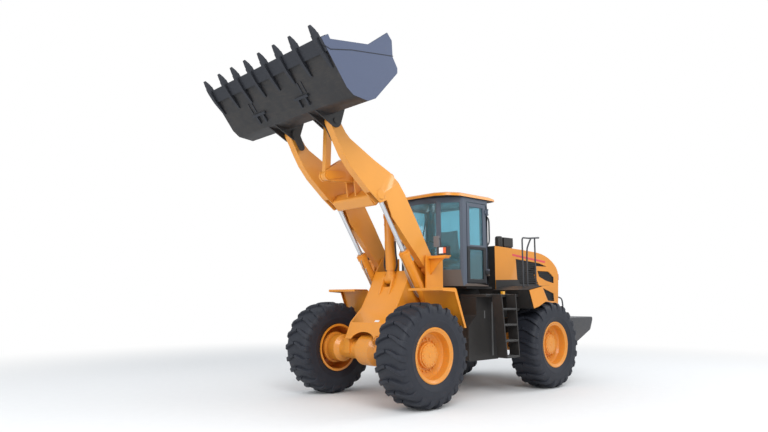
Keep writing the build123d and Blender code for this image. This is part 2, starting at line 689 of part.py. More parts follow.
# ---------------------------------------------------------------- rear fenders, tanks, steps
with BuildPart() as rear_fenders:
    for hand in (1, -1):
        y_low, y_high = both(hand, hood_half + gap, 1400)
        slab([(-852, 1860), (-2350, 1860), (-2480, 1650), (-2470, 1645), (-2340, 1848), (-865, 1848), (-872, 1400),
              (-862, 1400)], y_low, y_high)
finish(rear_fenders, "rear_fenders")

tank = [(-480, 574), (330, 574), (330, 1150), (110, 1330), (110, 1644), (-480, 1644)]
with BuildPart() as tanks:
    for hand in (1, -1):
        slab(tank, *both(hand, *tank_y), corner=20)
finish(tanks, "side_tanks")

with BuildPart() as platforms:
    for hand in (1, -1):
        block(-850, 100, *both(hand, tank_y[0] - 10, 1150), 1644 + gap, 1690)
finish(platforms, "platforms")

step_y = (1150 + gap, 1350)
step_top, step_bottom = 1690, 620
stile_top = (-60, -490)
stile_bottom = (-184, -560)
with BuildPart() as ladders:
    for hand in (1, -1):
        y_low, y_high = both(hand, *step_y)
        for top, bottom, thick in ((stile_top[0], stile_bottom[0], -25), (stile_top[1], stile_bottom[1], 25)):
            slab([(top, step_top), (top + thick, step_top), (bottom + thick, step_bottom), (bottom, step_bottom)],
                 y_low, y_high)
        for i in range(4):
            z = step_bottom + i * (step_top - step_bottom) / 4
            share = (z - step_bottom) / (step_top - step_bottom)
            front = stile_bottom[0] + share * (stile_top[0] - stile_bottom[0])
            back = stile_bottom[1] + share * (stile_top[1] - stile_bottom[1])
            block(back + 5, front - 5, y_low, y_high, z, z + 30)
finish(ladders, "ladders")

with BuildPart() as handrails:
    for hand in (1, -1):
        y = hand * 1100
        tube([(-1088, y, 1860 + gap), (-1088, y, 2745), (-1450, y, 2790), (-1450, y, 1860 + gap)], 18, 60)
finish(handrails, "handrails")

# ---------------------------------------------------------------- cab
nose = 545                      # windscreen's middle
cab_back = -560
plan = [(nose, 0), (455, 400), (205, cab_half), (cab_back + 60, cab_half), (cab_back, cab_half - 60)]


full = [*plan, *[(x, -y) for x, y in reversed(plan[1:])]]


def windows(margin):
    """The cab's window openings, each smaller by margin all round."""
    low, high = 2120 + margin, 3300 - margin
    block(0, 700, -360 + margin, 360 - margin, low, high)
    for hand in (1, -1):
        middle = (pivot_x + (plan[1][0] + plan[2][0]) / 2, hand * (plan[1][1] + plan[2][1]) / 2, (low + high) / 2)
        run = (plan[2][0] - plan[1][0], hand * (plan[2][1] - plan[1][1]), 0)
        with BuildSketch(Plane(origin=middle, x_dir=run, z_dir=(hand * run[1], -hand * run[0], 0))) as pane:
            Rectangle(330 - 2 * margin, high - low)
        extrude(pane.sketch, amount=150, both=True)
    block(-440 + margin, 95 - margin, -900, -600, 2150 + margin, high)
    block(-700, -400, -560 + margin, 560 - margin, 2450 + margin, high)


def cab_skin(inward, z_low, z_high, mode=Mode.ADD):
    """The cab's plan moved inwards, filled from z_low to z_high."""
    with BuildSketch(level(z_low)) as outline:
        Polygon(*full, align=None)
        if inward:
            offset(amount=-inward, kind=Kind.INTERSECTION, mode=Mode.REPLACE)
    extrude(outline.sketch, amount=z_high - z_low, mode=mode)


with BuildPart() as openings:
    windows(0)

door_low, door_high = cab_floor + wall, 3320
hinge = (-465, cab_half + 24)               # the cab door's hinge line in plan
hinge_z = (2050, 3150)
with BuildPart() as cab:
    cab_skin(0, cab_floor, cab_top)
    cab_skin(wall, cab_floor + wall, cab_top - wall, mode=Mode.SUBTRACT)
    add(openings.part, mode=Mode.SUBTRACT)
    block(-450, 100, cab_half - wall - 20, 900, door_low, door_high, mode=Mode.SUBTRACT)
    for z in hinge_z:
        for low, high in ((z - 30, z - 2), (z + 62, z + 90)):
            block(hinge[0] - 30, hinge[0] + 12, cab_half - 10, hinge[1] + 14, low, high)
        with BuildSketch(level(z - 30)):
            with Locations(hinge):
                Circle(10)
        extrude(amount=120)
finish(cab, "cab_shell")

glass_depth = 20                # from the cab's outside to the panes
glass = 8
with BuildPart() as panes:
    windows(gap)
with BuildPart() as cab_glass:
    cab_skin(glass_depth, cab_floor + wall, cab_top - wall)
    cab_skin(glass_depth + glass, cab_floor, cab_top, mode=Mode.SUBTRACT)
    add(panes.part, mode=Mode.INTERSECT)
finish(cab_glass, "cab_glass")

with BuildPart() as cab_roof:
    slab([(620, 3400 + gap), (566, 3440), (182, 3485), (-740, 3450), (-764, 3400 + gap)], -800, 800)
finish(cab_roof, "cab_roof")

door_play = 10
door_panes = ((1960, 2480), (2560, 3240))
door_face = cab_half + 5
with BuildPart() as cab_door:
    block(-450 + door_play, 100 - door_play, door_face - wall, door_face, door_low + door_play, door_high - door_play)
    for low, high in door_panes:
        block(-360, 20, door_face - wall, door_face, low, high, mode=Mode.SUBTRACT)
    for z in hinge_z:
        block(hinge[0], -450 + door_play + 30, door_face - 3, hinge[1] + 3, z, z + 60)
        for radius, mode in ((20, Mode.ADD), (10 + pin_slack, Mode.SUBTRACT)):
            with BuildSketch(level(z)):
                with Locations(hinge):
                    Circle(radius)
            extrude(amount=60, mode=mode)
finish(cab_door, "cab_door")

with BuildPart() as door_glass:
    for low, high in door_panes:
        block(-360 + gap, 20 - gap, cab_half - 25, cab_half - 17, low + gap, high - gap)
finish(door_glass, "door_glass")

with BuildPart() as seat:
    block(-350, 120, -230, 230, 2180, 2300)
    block(-400, -260, -230, 230, 2300, 2900)
    block(-260, 40, -150, 150, cab_floor + wall + gap, 2180)
finish(seat, "seat")

with BuildPart() as console:
    block(300, 420, -120, 120, cab_floor + wall + gap, 2450)
finish(console, "steering_console")

with BuildPart() as stack:
    with BuildSketch(level(2594)):
        with Locations((-1150, 250)):
            Circle(70)
    extrude(amount=150)
finish(stack, "air_intake")
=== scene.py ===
"""Looks of the articulated wheel loader, in metres, piece by piece as the machine goes together."""
import json
from math import cos, hypot, pi, radians, sin

import bmesh
import bpy
from mathutils import Matrix, Vector


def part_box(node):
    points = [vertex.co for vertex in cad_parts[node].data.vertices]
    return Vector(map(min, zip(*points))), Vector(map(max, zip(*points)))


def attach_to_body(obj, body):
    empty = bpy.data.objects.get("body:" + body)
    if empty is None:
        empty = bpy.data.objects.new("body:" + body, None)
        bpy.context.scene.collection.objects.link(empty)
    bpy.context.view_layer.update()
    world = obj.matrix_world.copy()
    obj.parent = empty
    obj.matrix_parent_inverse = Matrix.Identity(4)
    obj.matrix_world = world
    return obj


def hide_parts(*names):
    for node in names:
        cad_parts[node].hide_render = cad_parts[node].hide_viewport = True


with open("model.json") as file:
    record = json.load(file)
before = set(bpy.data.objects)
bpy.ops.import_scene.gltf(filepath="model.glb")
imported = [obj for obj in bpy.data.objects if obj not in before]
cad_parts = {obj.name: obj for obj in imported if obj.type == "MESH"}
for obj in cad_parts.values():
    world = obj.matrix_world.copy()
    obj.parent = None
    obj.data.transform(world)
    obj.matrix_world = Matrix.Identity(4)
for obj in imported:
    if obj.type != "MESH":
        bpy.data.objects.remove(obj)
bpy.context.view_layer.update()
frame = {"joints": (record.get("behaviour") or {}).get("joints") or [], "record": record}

# -------------------- stand, light and camera
# The machine stands on a plain pale floor, sanded to a dull finish.  Three big soft lamps and a
# pale sky light it evenly; the camera stands off its left front corner, low down.


class Wire:
    """A shader socket that reckons like a number: each sum, difference or product is one Math node."""

    def __init__(self, finish, socket):
        self.finish, self.socket = finish, socket

    def maths(self, operation, first, second):
        return self.finish.node("ShaderNodeMath", {"operation": operation}, {0: first, 1: second})

    def __add__(self, other):
        return self.maths("ADD", self, other)

    def __sub__(self, other):
        return self.maths("SUBTRACT", self, other)

    def __rsub__(self, other):
        return self.maths("SUBTRACT", other, self)

    def __mul__(self, other):
        return self.maths("MULTIPLY", self, other)

    __radd__, __rmul__ = __add__, __mul__

    def above(self, edge, soft):
        """1 where this is over edge and 0 below it, easing over soft each way."""
        return self.finish.node("ShaderNodeMapRange", {"interpolation_type": "SMOOTHSTEP"},
                                {"Value": self, "From Min": edge - soft, "From Max": edge + soft})


class Finish:
    """A material, or a sky, and the nodes that make it."""

    def __init__(self, name, kind=bpy.data.materials):
        self.material = kind.new(name)
        self.material.use_nodes = True
        self.tree = self.material.node_tree
        self.tree.nodes.clear()
        self.place = self.node("ShaderNodeTexCoord", {}, {}, "Object")

    def node(self, kind, settings, sockets, output=0):
        """Adds a node: its settings first, then the values or wires of its sockets."""
        made = self.tree.nodes.new(kind)
        for name, value in settings.items():
            setattr(made, name, value)
        for name, value in sockets.items():
            if isinstance(value, Wire):
                self.tree.links.new(value.socket, made.inputs[name])
            else:
                made.inputs[name].default_value = value
        return Wire(self, made.outputs[output]) if len(made.outputs) else None

    def noise(self, scale, detail=3, roughness=0.55, stretch=None):
        """Cloudy noise at scale per metre, drawn out along one axis if stretch says so."""
        place = self.place
        if stretch:
            place = self.node("ShaderNodeMapping", {}, {"Vector": place, "Scale": stretch})
        return self.node("ShaderNodeTexNoise", {}, {"Vector": place, "Scale": scale, "Detail": detail,
                                                    "Roughness": roughness})

    def height(self):
        """How high above the ground a point of the piece is at rest."""
        return self.node("ShaderNodeSeparateXYZ", {}, {"Vector": self.place}, "Z")

    def blend(self, share, first, second):
        """Goes from the first colour to the second as share goes from 0 to 1."""
        colours = {socket: (*colour, 1) if isinstance(colour, tuple) else colour
                   for socket, colour in ((6, first), (7, second))}
        return self.node("ShaderNodeMix", {"data_type": "RGBA"}, {0: share, **colours}, 2)

    def bump(self, height, strength, distance):
        return self.node("ShaderNodeBump", {}, {"Height": height, "Strength": strength, "Distance": distance})

    def surface(self, **sockets):
        """Ends in a Principled shader with these sockets."""
        names = {name.replace("_", " "): value for name, value in sockets.items()}
        shader = self.node("ShaderNodeBsdfPrincipled", {}, names)
        self.node("ShaderNodeOutputMaterial", {}, {"Surface": shader})
        return self.material

    def seen_as(self, usual, seen, share=None):
        """The camera sees one shader, in this share if told; light and shade come of the usual one."""
        ray = self.node("ShaderNodeLightPath", {}, {}, "Is Camera Ray")
        return self.node("ShaderNodeMixShader", {}, {0: share * ray if share else ray, 1: usual, 2: seen})


def placed(name, data):
    """A new object in the scene."""
    obj = bpy.data.objects.new(name, data)
    scene.collection.objects.link(obj)
    return obj


scene = bpy.context.scene
edge = 60                                       # metres from the middle of the floor to its edges
floor_mesh = bpy.data.meshes.new("floor")
floor_mesh.from_pydata([(-edge, -edge, 0), (edge, -edge, 0), (edge, edge, 0), (-edge, edge, 0)], [],
                       [(0, 1, 2, 3)])
floor = placed("floor", floor_mesh)
sanded = Finish("pale_floor")
away = sanded.node("ShaderNodeVectorMath", {"operation": "LENGTH"}, {0: sanded.place}, "Value")
floor_colour = sanded.blend(sanded.noise(6), (0.86, 0.86, 0.86), (0.90, 0.90, 0.90))
dull = sanded.node("ShaderNodeBsdfPrincipled", {}, {"Base Color": floor_colour, "Roughness": 0.8})
white = sanded.node("ShaderNodeEmission", {}, {"Strength": 1.0})
fade_start, fade_half = 10.5, 4                 # metres from the machine at which the floor turns white
sanded.node("ShaderNodeOutputMaterial", {},
            {"Surface": sanded.seen_as(dull, white, away.above(fade_start, fade_half))})
floor_mesh.materials.append(sanded.material)

for name, place, aim, size, watts in (
        ("key", (7, 10, 10), (0, 0, 2.2), 7, 1000),
        ("fill", (12, -2, 6), (0.5, 0, 2), 7, 330),
        ("rim", (-9, 5, 9), (-1, 0, 2), 6, 420)):
    light = bpy.data.lights.new(name, "AREA")
    light.energy, light.size = watts, size
    lamp = placed(name, light)
    lamp.location = place
    lamp.rotation_euler = (Vector(aim) - Vector(place)).to_track_quat("-Z", "Y").to_euler()

sky = Finish("sky", bpy.data.worlds)
glow = sky.node("ShaderNodeBackground", {}, {"Color": (0.92, 0.96, 1, 1), "Strength": 0.72})
backdrop = sky.node("ShaderNodeBackground", {}, {"Color": (1, 1, 1, 1), "Strength": 1})
sky.node("ShaderNodeOutputWorld", {}, {"Surface": sky.seen_as(glow, backdrop)})
scene.world = sky.material
scene.view_settings.view_transform = "Standard"

camera = bpy.data.cameras.new("camera")
camera.lens, camera.sensor_width = 28.82, 36
scene.camera = placed("camera", camera)
scene.camera.location = (8.1854, 7.613, 1.614)
scene.camera.rotation_euler = (radians(97.66), 0, radians(136.81))

# -------------------- tyres
# Black rubber casings moulded in one piece: a rounded carcass with smooth sidewalls, a rim guard
# and deep chevron lugs, twenty-two a side, each wider at the shoulder.  Mounted on the rims.
pins = {joint["name"]: Vector(joint["pos_m"]) for joint in frame["joints"] if "pos_m" in joint}
bodies = frame["record"]["behaviour"]["bodies"]
body_of_node = {node: body for body, nodes in bodies.items() for node in nodes}
hands = ((1, "left"), (-1, "right"))            # which way each side lies along Y, and its name
wheels = [(f"{end}_{side}", hand) for end in ("front", "rear") for hand, side in hands]
rubber = Finish("tyre_rubber")
grime = rubber.noise(9, 5)
scuff = rubber.noise(60, 4, 0.7)
rubber_finish = rubber.surface(
    Base_Color=rubber.blend(grime, (0.009, 0.011, 0.018), (0.019, 0.022, 0.033)),
    Roughness=0.62 + 0.2 * (scuff - 0.5), Normal=rubber.bump(scuff + 0.4 * grime, 0.25, 0.004))


def coat(obj, finish):
    """Gives an object one finish."""
    obj.data.materials.clear()
    obj.data.materials.append(finish)


def fit(obj, node, finish=None):
    """Puts a new piece in place of a CAD node: its body and its finish."""
    if finish:
        coat(obj, finish)
    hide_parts(node)
    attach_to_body(obj, body_of_node[node])
    return obj


def attach(obj, body, finish=None):
    """Puts a trim piece on a body."""
    if finish:
        coat(obj, finish)
    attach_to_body(obj, body)
    return obj


def moved(obj, place):
    """Shifts an object's mesh."""
    obj.data.transform(Matrix.Translation(place))
    return obj


def baked(obj):
    """The mesh that an object's modifiers, or a curve's settings, make of it."""
    return bpy.data.meshes.new_from_object(obj.evaluated_get(bpy.context.evaluated_depsgraph_get()))


def settled(obj):
    """Turns an object's modifiers into its plain mesh."""
    mesh = baked(obj)
    obj.modifiers.clear()
    old, obj.data = obj.data, mesh
    bpy.data.meshes.remove(old)
    return obj


def as_object(name, build, smooth=35, outwards=True):
    """A mesh object from a bmesh, shaded smooth but for sharp edges, its flat faces shaded flat."""
    mesh = bpy.data.meshes.new(name)
    if outwards:
        bmesh.ops.recalc_face_normals(build, faces=build.faces)
    build.to_mesh(mesh)
    build.free()
    mesh.shade_smooth()
    mesh.set_sharp_from_angle(angle=radians(smooth))
    obj = placed(name, mesh)
    flat = obj.modifiers.new("flat", "WEIGHTED_NORMAL")
    flat.keep_sharp, flat.weight = True, 100
    return settled(obj)


def as_mesh(build, finish, smooth=35):
    """The settled mesh of a part that goes into a joined piece."""
    obj = as_object("part", build, smooth)
    coat(obj, finish)
    mesh = obj.data
    bpy.data.objects.remove(obj)
    return mesh


def strip(build, near, far, closed=True):
    """Faces between two rows of corners, and between their ends too if closed."""
    count = len(near)
    for i in range(count if closed else count - 1):
        j = (i + 1) % count
        build.faces.new((near[i], near[j], far[j], far[i]))


def skin(build, rows, closed=True):
    """Joins rows of corners one to the next and closes both ends."""
    for near, far in zip(rows, rows[1:]):
        strip(build, near, far, closed)
    build.faces.new(rows[0])
    build.faces.new(rows[-1])


def lathe(build, profile, steps, closed=False):
    """Turns a profile of (radius, place along the axle) about the Y axis."""
    rings = []
    for step in range(steps):
        angle = 2 * pi * step / steps
        rings.append([build.verts.new((r * sin(angle), out, r * cos(angle))) for r, out in profile])
    for near, far in zip(rings, rings[1:] + rings[:1]):
        strip(build, near, far, closed)


repeat = bpy.data.node_groups.new("repeat", "GeometryNodeTree")
for name, kind, way in (("Mould", "Geometry", "INPUT"), ("Count", "Int", "INPUT"),
                        ("Step", "Vector", "INPUT"), ("Turn", "Vector", "INPUT"),
                        ("Finish", "Material", "INPUT"), ("Row", "Geometry", "OUTPUT")):
    repeat.interface.new_socket(name=name, in_out=way, socket_type="NodeSocket" + kind)
given, result, line, index, spin, spread, real, paint = [repeat.nodes.new(kind) for kind in (
    "NodeGroupInput", "NodeGroupOutput", "GeometryNodeMeshLine", "GeometryNodeInputIndex",
    "ShaderNodeVectorMath", "GeometryNodeInstanceOnPoints", "GeometryNodeRealizeInstances",
    "GeometryNodeSetMaterial")]
spin.operation = "SCALE"
for source, output, target, socket in (
        (given, "Count", line, "Count"), (given, "Step", line, "Offset"), (line, 0, spread, "Points"),
        (given, "Mould", spread, "Instance"), (given, "Turn", spin, 0), (index, 0, spin, "Scale"),
        (spin, 0, spread, "Rotation"), (spread, 0, real, 0), (real, 0, paint, "Geometry"),
        (given, "Finish", paint, "Material"), (paint, 0, result, "Row")):
    repeat.links.new(source.outputs[output], target.inputs[socket])


def repeated(mould, count, finish, step=(0, 0, 0), turn=(0, 0, 0)):
    """A mesh of count copies of the mould object, each a step and a turn from the last."""
    way = mould.modifiers.new("repeat", "NODES")
    way.node_group = repeat
    sockets = {item.name: item.identifier for item in repeat.interface.items_tree if item.in_out == "INPUT"}
    for name, value in (("Count", count), ("Step", step), ("Turn", turn), ("Finish", finish)):
        way[sockets[name]] = value
    mould.update_tag()
    bpy.context.view_layer.update()
    mesh = baked(mould)
    mould.modifiers.remove(way)
    bpy.data.objects.remove(mould)
    return mesh


def round_axle(mould, count, finish):
    """A mesh of count copies of the mould object, evenly round the Y axis."""
    return repeated(mould, count, finish, turn=(0, 2 * pi / count, 0))


def join(name, *meshes):
    """One object from several meshes and their materials."""
    build, finishes = bmesh.new(), []
    for mesh in meshes:
        first = len(build.faces)
        build.from_mesh(mesh)
        build.faces.ensure_lookup_table()
        for face in build.faces[first:]:
            finish = mesh.materials[face.material_index]
            if finish not in finishes:
                finishes.append(finish)
            face.material_index = finishes.index(finish)
    mesh = bpy.data.meshes.new(name)
    build.to_mesh(mesh)
    build.free()
    for finish in finishes:
        mesh.materials.append(finish)
    return placed(name, mesh)


lug_count, round_steps = 22, 96
carcass = [(0.3885, 0.225), (0.400, 0.244), (0.430, 0.262), (0.500, 0.289), (0.512, 0.294), (0.522, 0.294),
           (0.532, 0.290), (0.580, 0.2955), (0.640, 0.290), (0.690, 0.272), (0.718, 0.250), (0.732, 0.20),
           (0.737, 0.10), (0.738, 0)]
build = bmesh.new()
lathe(build, carcass + [(r, -out) for r, out in reversed(carcass[:-1])], round_steps, closed=True)
casing = as_mesh(build, rubber_finish, 60)
# lug sections: distance out, top and foot radius, shift round the tyre, half width at top and foot
lug_sections = ((0.012, 0.779, 0.724, 0.010, 0.022, 0.032), (0.080, 0.779, 0.722, 0.024, 0.027, 0.038),
                (0.160, 0.775, 0.718, 0.052, 0.031, 0.043), (0.215, 0.768, 0.712, 0.080, 0.034, 0.046),
                (0.262, 0.748, 0.694, 0.094, 0.037, 0.048), (0.286, 0.716, 0.668, 0.098, 0.040, 0.050),
                (0.2945, 0.672, 0.640, 0.099, 0.042, 0.050))
lug_rings = []
for hand, _ in hands:
    build, rows = bmesh.new(), []
    for out, top, foot, shift, half_top, half_foot in lug_sections:
        flank = [(-half_foot, foot - 0.012), (-half_top, top - 0.006), (-half_top + 0.007, top)]
        rows.append([build.verts.new((shift + w, hand * out, r - (shift + w) ** 2 / (2 * r)))
                     for w, r in flank + [(-w, r) for w, r in reversed(flank)]])
    skin(build, rows, closed=False)
    lug_rings.append(round_axle(as_object("lug", build, 40), lug_count, rubber_finish))
for wheel, _ in wheels:
    tyre = join(f"tyre_{wheel}_rubber", casing, *lug_rings)
    fit(moved(tyre, pins[f"wheel_{wheel}"]), f"tyre_{wheel}")

# -------------------- rims and hubs
# Rolled steel rims with a deep dish, bolted to the planetary hubs; sprayed the machine's orange-yellow.
# A locking ring lies outboard, the studs stand in a ring round the hub and dust lies in the dish.


def paint_finish(name, colour, dust=0.35, roughness=0.32):
    """Sprayed gloss paint with orange peel, faint fading and dust lower down."""
    paint = Finish(name)
    fade, peel = paint.noise(1.7, 4), paint.noise(340, 2)
    specks = paint.noise(38, 6, 0.7)
    tone = paint.blend(fade, tuple(0.90 * c for c in colour), tuple(min(1, 1.06 * c) for c in colour))
    low = (1 - paint.height().above(1.0, 0.9)) * specks.above(0.50, 0.16) * dust
    colour_out = paint.blend(low, tone, (0.30, 0.22, 0.14))
    return paint.surface(Base_Color=colour_out, Roughness=roughness + 0.10 * fade + 0.3 * low,
                         Coat_Weight=0.25, Normal=paint.bump(peel + 0.3 * specks, 0.05, 0.0006))


rim_finish = paint_finish("rim_paint", (0.80, 0.29, 0.02), dust=0.3, roughness=0.38)


def bolt_ring(radius, height, out, away, count, finish):
    """Chamfered bolt heads in a ring about the Y axis, standing on y = out and pointing along +Y."""
    build = bmesh.new()
    lathe(build, [(radius, 0), (radius, height * 0.85), (radius * 0.86, height)], 6)
    bmesh.ops.holes_fill(build, edges=build.edges, sides=0)
    return round_axle(moved(as_object("bolt", build), (0, out, away)), count, finish)


rim_profile = [(0.366, -0.262), (0.4005, -0.262), (0.4005, -0.250), (0.388, -0.240), (0.388, 0.236),
               (0.396, 0.246), (0.412, 0.2485), (0.414, 0.256), (0.408, 0.262), (0.392, 0.262),
               (0.381, 0.250), (0.352, 0.236), (0.346, 0.200), (0.342, 0.120), (0.318, 0.083), (0.290, 0.074),
               (0.200, 0.074), (0.192, 0.080), (0.190, 0.128), (0.176, 0.134), (0.172, 0.158), (0.120, 0.166),
               (0.112, 0.170), (0.040, 0.171), (0.036, 0.178), (0.0005, 0.178)]
rim_back = [(0.0005, 0.020), (0.150, 0.020), (0.150, 0.046), (0.300, 0.046), (0.352, 0.040), (0.360, -0.250)]
build = bmesh.new()
lathe(build, rim_profile + rim_back, round_steps, closed=True)
dish = as_mesh(build, rim_finish, 30)
studs = bolt_ring(radius=0.017, height=0.024, out=0.074, away=0.238, count=20, finish=rim_finish)
hub_bolts = bolt_ring(radius=0.011, height=0.012, out=0.160, away=0.146, count=16, finish=rim_finish)
for wheel, hand in wheels:
    rim = join(f"rim_{wheel}_dish", dish, studs, hub_bolts)
    if hand < 0:
        rim.data.transform(Matrix.Rotation(pi, 4, "Z"))
    fit(moved(rim, pins[f"wheel_{wheel}"]), f"rim_{wheel}")

# -------------------- axles
# Cast steel housings that taper from the bolted middle case to the wheel ends, painted with the
# machine.  The front one is bolted under the frame; the rear one rocks in its cradle.
sharp_edge = 32                                 # degrees between the faces at an edge of a CAD node


def ease(build, width, sharp=30, segments=2):
    """Rounds a body's sharp edges."""
    edges = [edge for edge in build.edges
             if len(edge.link_faces) == 2 and edge.calc_face_angle(0) > radians(sharp)
             and edge.calc_length() > 2.2 * width]
    bmesh.ops.bevel(build, geom=edges, offset=width, segments=segments, profile=0.5, affect="EDGES",
                    clamp_overlap=False)
    return build


def copied(node, width):
    """A working copy of a CAD node's shape: doubles merged, flat faces whole, sharp edges eased."""
    build = bmesh.new()
    build.from_mesh(bpy.data.objects[node].data)
    bmesh.ops.remove_doubles(build, verts=build.verts, dist=0.00002)
    bmesh.ops.dissolve_limit(build, angle_limit=radians(1), verts=build.verts, edges=build.edges)
    ease(build, width, sharp_edge)
    bmesh.ops.triangulate(build, faces=[face for face in build.faces if len(face.verts) > 4])
    return build


def eased(node, finish, width):
    """Puts the eased copy of a CAD node in its place."""
    return fit(as_object(node + "_eased", copied(node, width), sharp_edge, outwards=False), node, finish)


yellow_finish = paint_finish("orange_yellow_paint", (0.78, 0.285, 0.018))
drum_profile = [(0.110, -0.245), (0.205, -0.240), (0.212, -0.232), (0.212, -0.205), (0.255, -0.195),
                (0.262, -0.185), (0.262, -0.150), (0.250, -0.140), (0.110, -0.140)]
for end in ("front", "rear"):
    node = "axle_" + end
    eased(node, yellow_finish, 0.005)
    low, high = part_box(node)
    case_bolts, drums = [], []
    for hand, side in hands:
        turned = Matrix.Rotation(0 if hand > 0 else pi, 4, "Z")
        ring = bolt_ring(radius=0.014, height=0.014, out=0.098, away=0.205, count=14, finish=yellow_finish)
        ring.transform(Matrix.Translation(((low[0] + high[0]) / 2, 0, (low[2] + high[2]) / 2)) @ turned)
        case_bolts.append(ring)
        build = bmesh.new()
        lathe(build, drum_profile, 48, closed=True)
        drum_bolts = bolt_ring(radius=0.013, height=0.014, out=0.240, away=0.182, count=18,
                               finish=yellow_finish)
        drum_bolts.transform(Matrix.Rotation(pi, 4, "Z"))
        for mesh in (as_mesh(build, yellow_finish), drum_bolts):
            mesh.transform(Matrix.Translation(pins[f"wheel_{end}_{side}"]) @ turned)
            drums.append(mesh)
    attach(join(node + "_bolts", *case_bolts), body_of_node[node])
    attach(join(node + "_drums", *drums), body_of_node[node])

# -------------------- frames and steering
# Two welded frames of thick plate hinge on upright pins; the steering cylinders lie beside the hinge.
# A blank white label lies on the front frame's nose.
pivot = pins["steering"].x                      # x of the steering pivot, from which lengths are told


def spot(x, y, z):
    """A place told in millimetres ahead of the steering pivot, to the left and above the ground."""
    return Vector((pivot + x / 1000, y / 1000, z / 1000))


def plate(build, outline, y_low, y_high):
    """Adds a plate with an outline of (ahead, above), between two places across; returns its corners."""
    ends = [[build.verts.new(spot(x, y, z)) for x, z in outline] for y in (y_low, y_high)]
    for end in ends:
        build.faces.new(end)
    strip(build, *ends)
    return ends[0] + ends[1]


def block(build, low, high):
    """Adds a box between two corners."""
    (x_low, y_low, z_low), (x_high, y_high, z_high) = low, high
    return plate(build, [(x_low, z_low), (x_high, z_low), (x_high, z_high), (x_low, z_high)], y_low, y_high)


def hoop(build, radius, thick, steps):
    """Adds a round bar bent into a ring about the Y axis."""
    section = [(radius + thick * cos(a * pi / 4), thick * sin(a * pi / 4)) for a in range(8)]
    lathe(build, section, steps, closed=True)


def carved(obj, operation, cutters):
    """Cuts bodies out of an object, or keeps only what is in them."""
    cutter = as_object("cutter", cutters)
    way = obj.modifiers.new("carve", "BOOLEAN")
    way.operation, way.solver, way.object = operation, "EXACT", cutter
    settled(obj)
    bpy.data.objects.remove(cutter)
    obj.data.shade_smooth()
    obj.data.set_sharp_from_angle(angle=radians(30))
    return obj


def mottled(name, noise, dark, light, roughness, bump=None, **sockets):
    """A finish of one noise: it shades the colour from dark to light and varies the gloss and the bumps."""
    finish = Finish(name)
    cloud = finish.noise(*noise)
    if bump:
        sockets["Normal"] = finish.bump(cloud, *bump)
    return finish.surface(Base_Color=finish.blend(cloud, dark, light),
                          Roughness=roughness[0] + roughness[1] * cloud, **sockets)


def plain(name, colour, roughness, **sockets):
    """A plainer finish: one colour, a little uneven in shade and gloss."""
    return mottled(name, (6,), tuple(0.82 * c for c in colour), tuple(min(1, 1.12 * c) for c in colour),
                   (roughness - 0.06, 0.12), **sockets)


black_finish = mottled("black_paint", (14, 5, 0.65), (0.012, 0.012, 0.013), (0.034, 0.029, 0.025),
                       (0.42, 0.25), (0.12, 0.0015))
steel_finish = mottled("bare_steel", (90, 3, 0.6, (1, 12, 1)), (0.20, 0.19, 0.18), (0.36, 0.35, 0.33),
                       (0.32, 0.2), Metallic=1.0)
for node in ("front_frame", "front_frame_sides", "lift_towers", "rear_frame", "rear_frame_rails"):
    eased(node, yellow_finish if "rear" not in node else black_finish, 0.004)
nose_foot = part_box("front_plate")[0][2]
arch_half, arch_rise, arch_steps = 0.29, 0.15, 12
arch = [(arch_half * cos(pi * i / arch_steps), nose_foot - 0.03 + arch_rise * sin(pi * i / arch_steps))
        for i in range(arch_steps + 1)]
build = bmesh.new()
ends = [[build.verts.new((x, y, z)) for y, z in arch] for x in (pivot + 1.6, pivot + 2.0)]
for end in ends:
    build.faces.new(end)
strip(build, *ends)
nose = as_object("front_plate_arched", copied("front_plate", 0.004), outwards=False)
fit(carved(nose, "DIFFERENCE", build), "front_plate", yellow_finish)


def lay_on(obj, target, y, z):
    """Lays a flat piece, made round the origin and facing ahead, on the front of a target at y and z."""
    _, place, normal, _ = target.ray_cast(Vector((9, y, z)), Vector((-1, 0, 0)))
    turn = Vector((1, 0, 0)).rotation_difference(normal).to_matrix().to_4x4()
    obj.data.transform(Matrix.Translation(place) @ turn)
    return obj


build = bmesh.new()
block(build, (-1, -50, -19), (2, 50, 19))
label = moved(as_object("blank_label", build), -spot(0, 0, 0))
attach(lay_on(label, nose, 0.205, 1.255), "front", plain("label_film", (0.80, 0.80, 0.80), 0.4))
build = bmesh.new()
hoop(build, 0.048, 0.010, 24)
ring = as_object("tow_ring", build)
ring.data.transform(Matrix.Rotation(radians(160), 4, "X"))
attach(moved(lay_on(ring, nose, 0.33, nose_foot + 0.05), (0.012, 0, -0.03)), "front", yellow_finish)
for node, finish in (("steering_pins", steel_finish), ("front_pins", yellow_finish),
                     ("bellcrank_pin", yellow_finish), ("link_pin", yellow_finish),
                     ("tilt_pin", yellow_finish), ("bucket_pins", black_finish)):
    eased(node, finish, 0.002)

# -------------------- front fenders and lamps
# Folded orange sheet over each front tyre, with a stiffened edge; a lamp box stands on an arm
# from each tower, with a clear lens ahead and an amber turn lens at its side, and a mirror over it.


def span(node):
    """The low and the high corner of a CAD node, in millimetres ahead of the pivot, to the left and up."""
    return [((x - pivot) * 1000, y * 1000, z * 1000) for x, y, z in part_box(node)]


def recoat(obj, finish, choose):
    """Gives another finish to the faces that choose picks by their middle and normal."""
    obj.data.materials.append(finish)
    for face in obj.data.polygons:
        if choose(face.center, face.normal):
            face.material_index = len(obj.data.materials) - 1


def boxed(name, low, high, width, body, finish):
    """Puts an eased box between two corners on a body."""
    build = bmesh.new()
    block(build, low, high)
    return attach(as_object(name, ease(build, width)), body, finish)


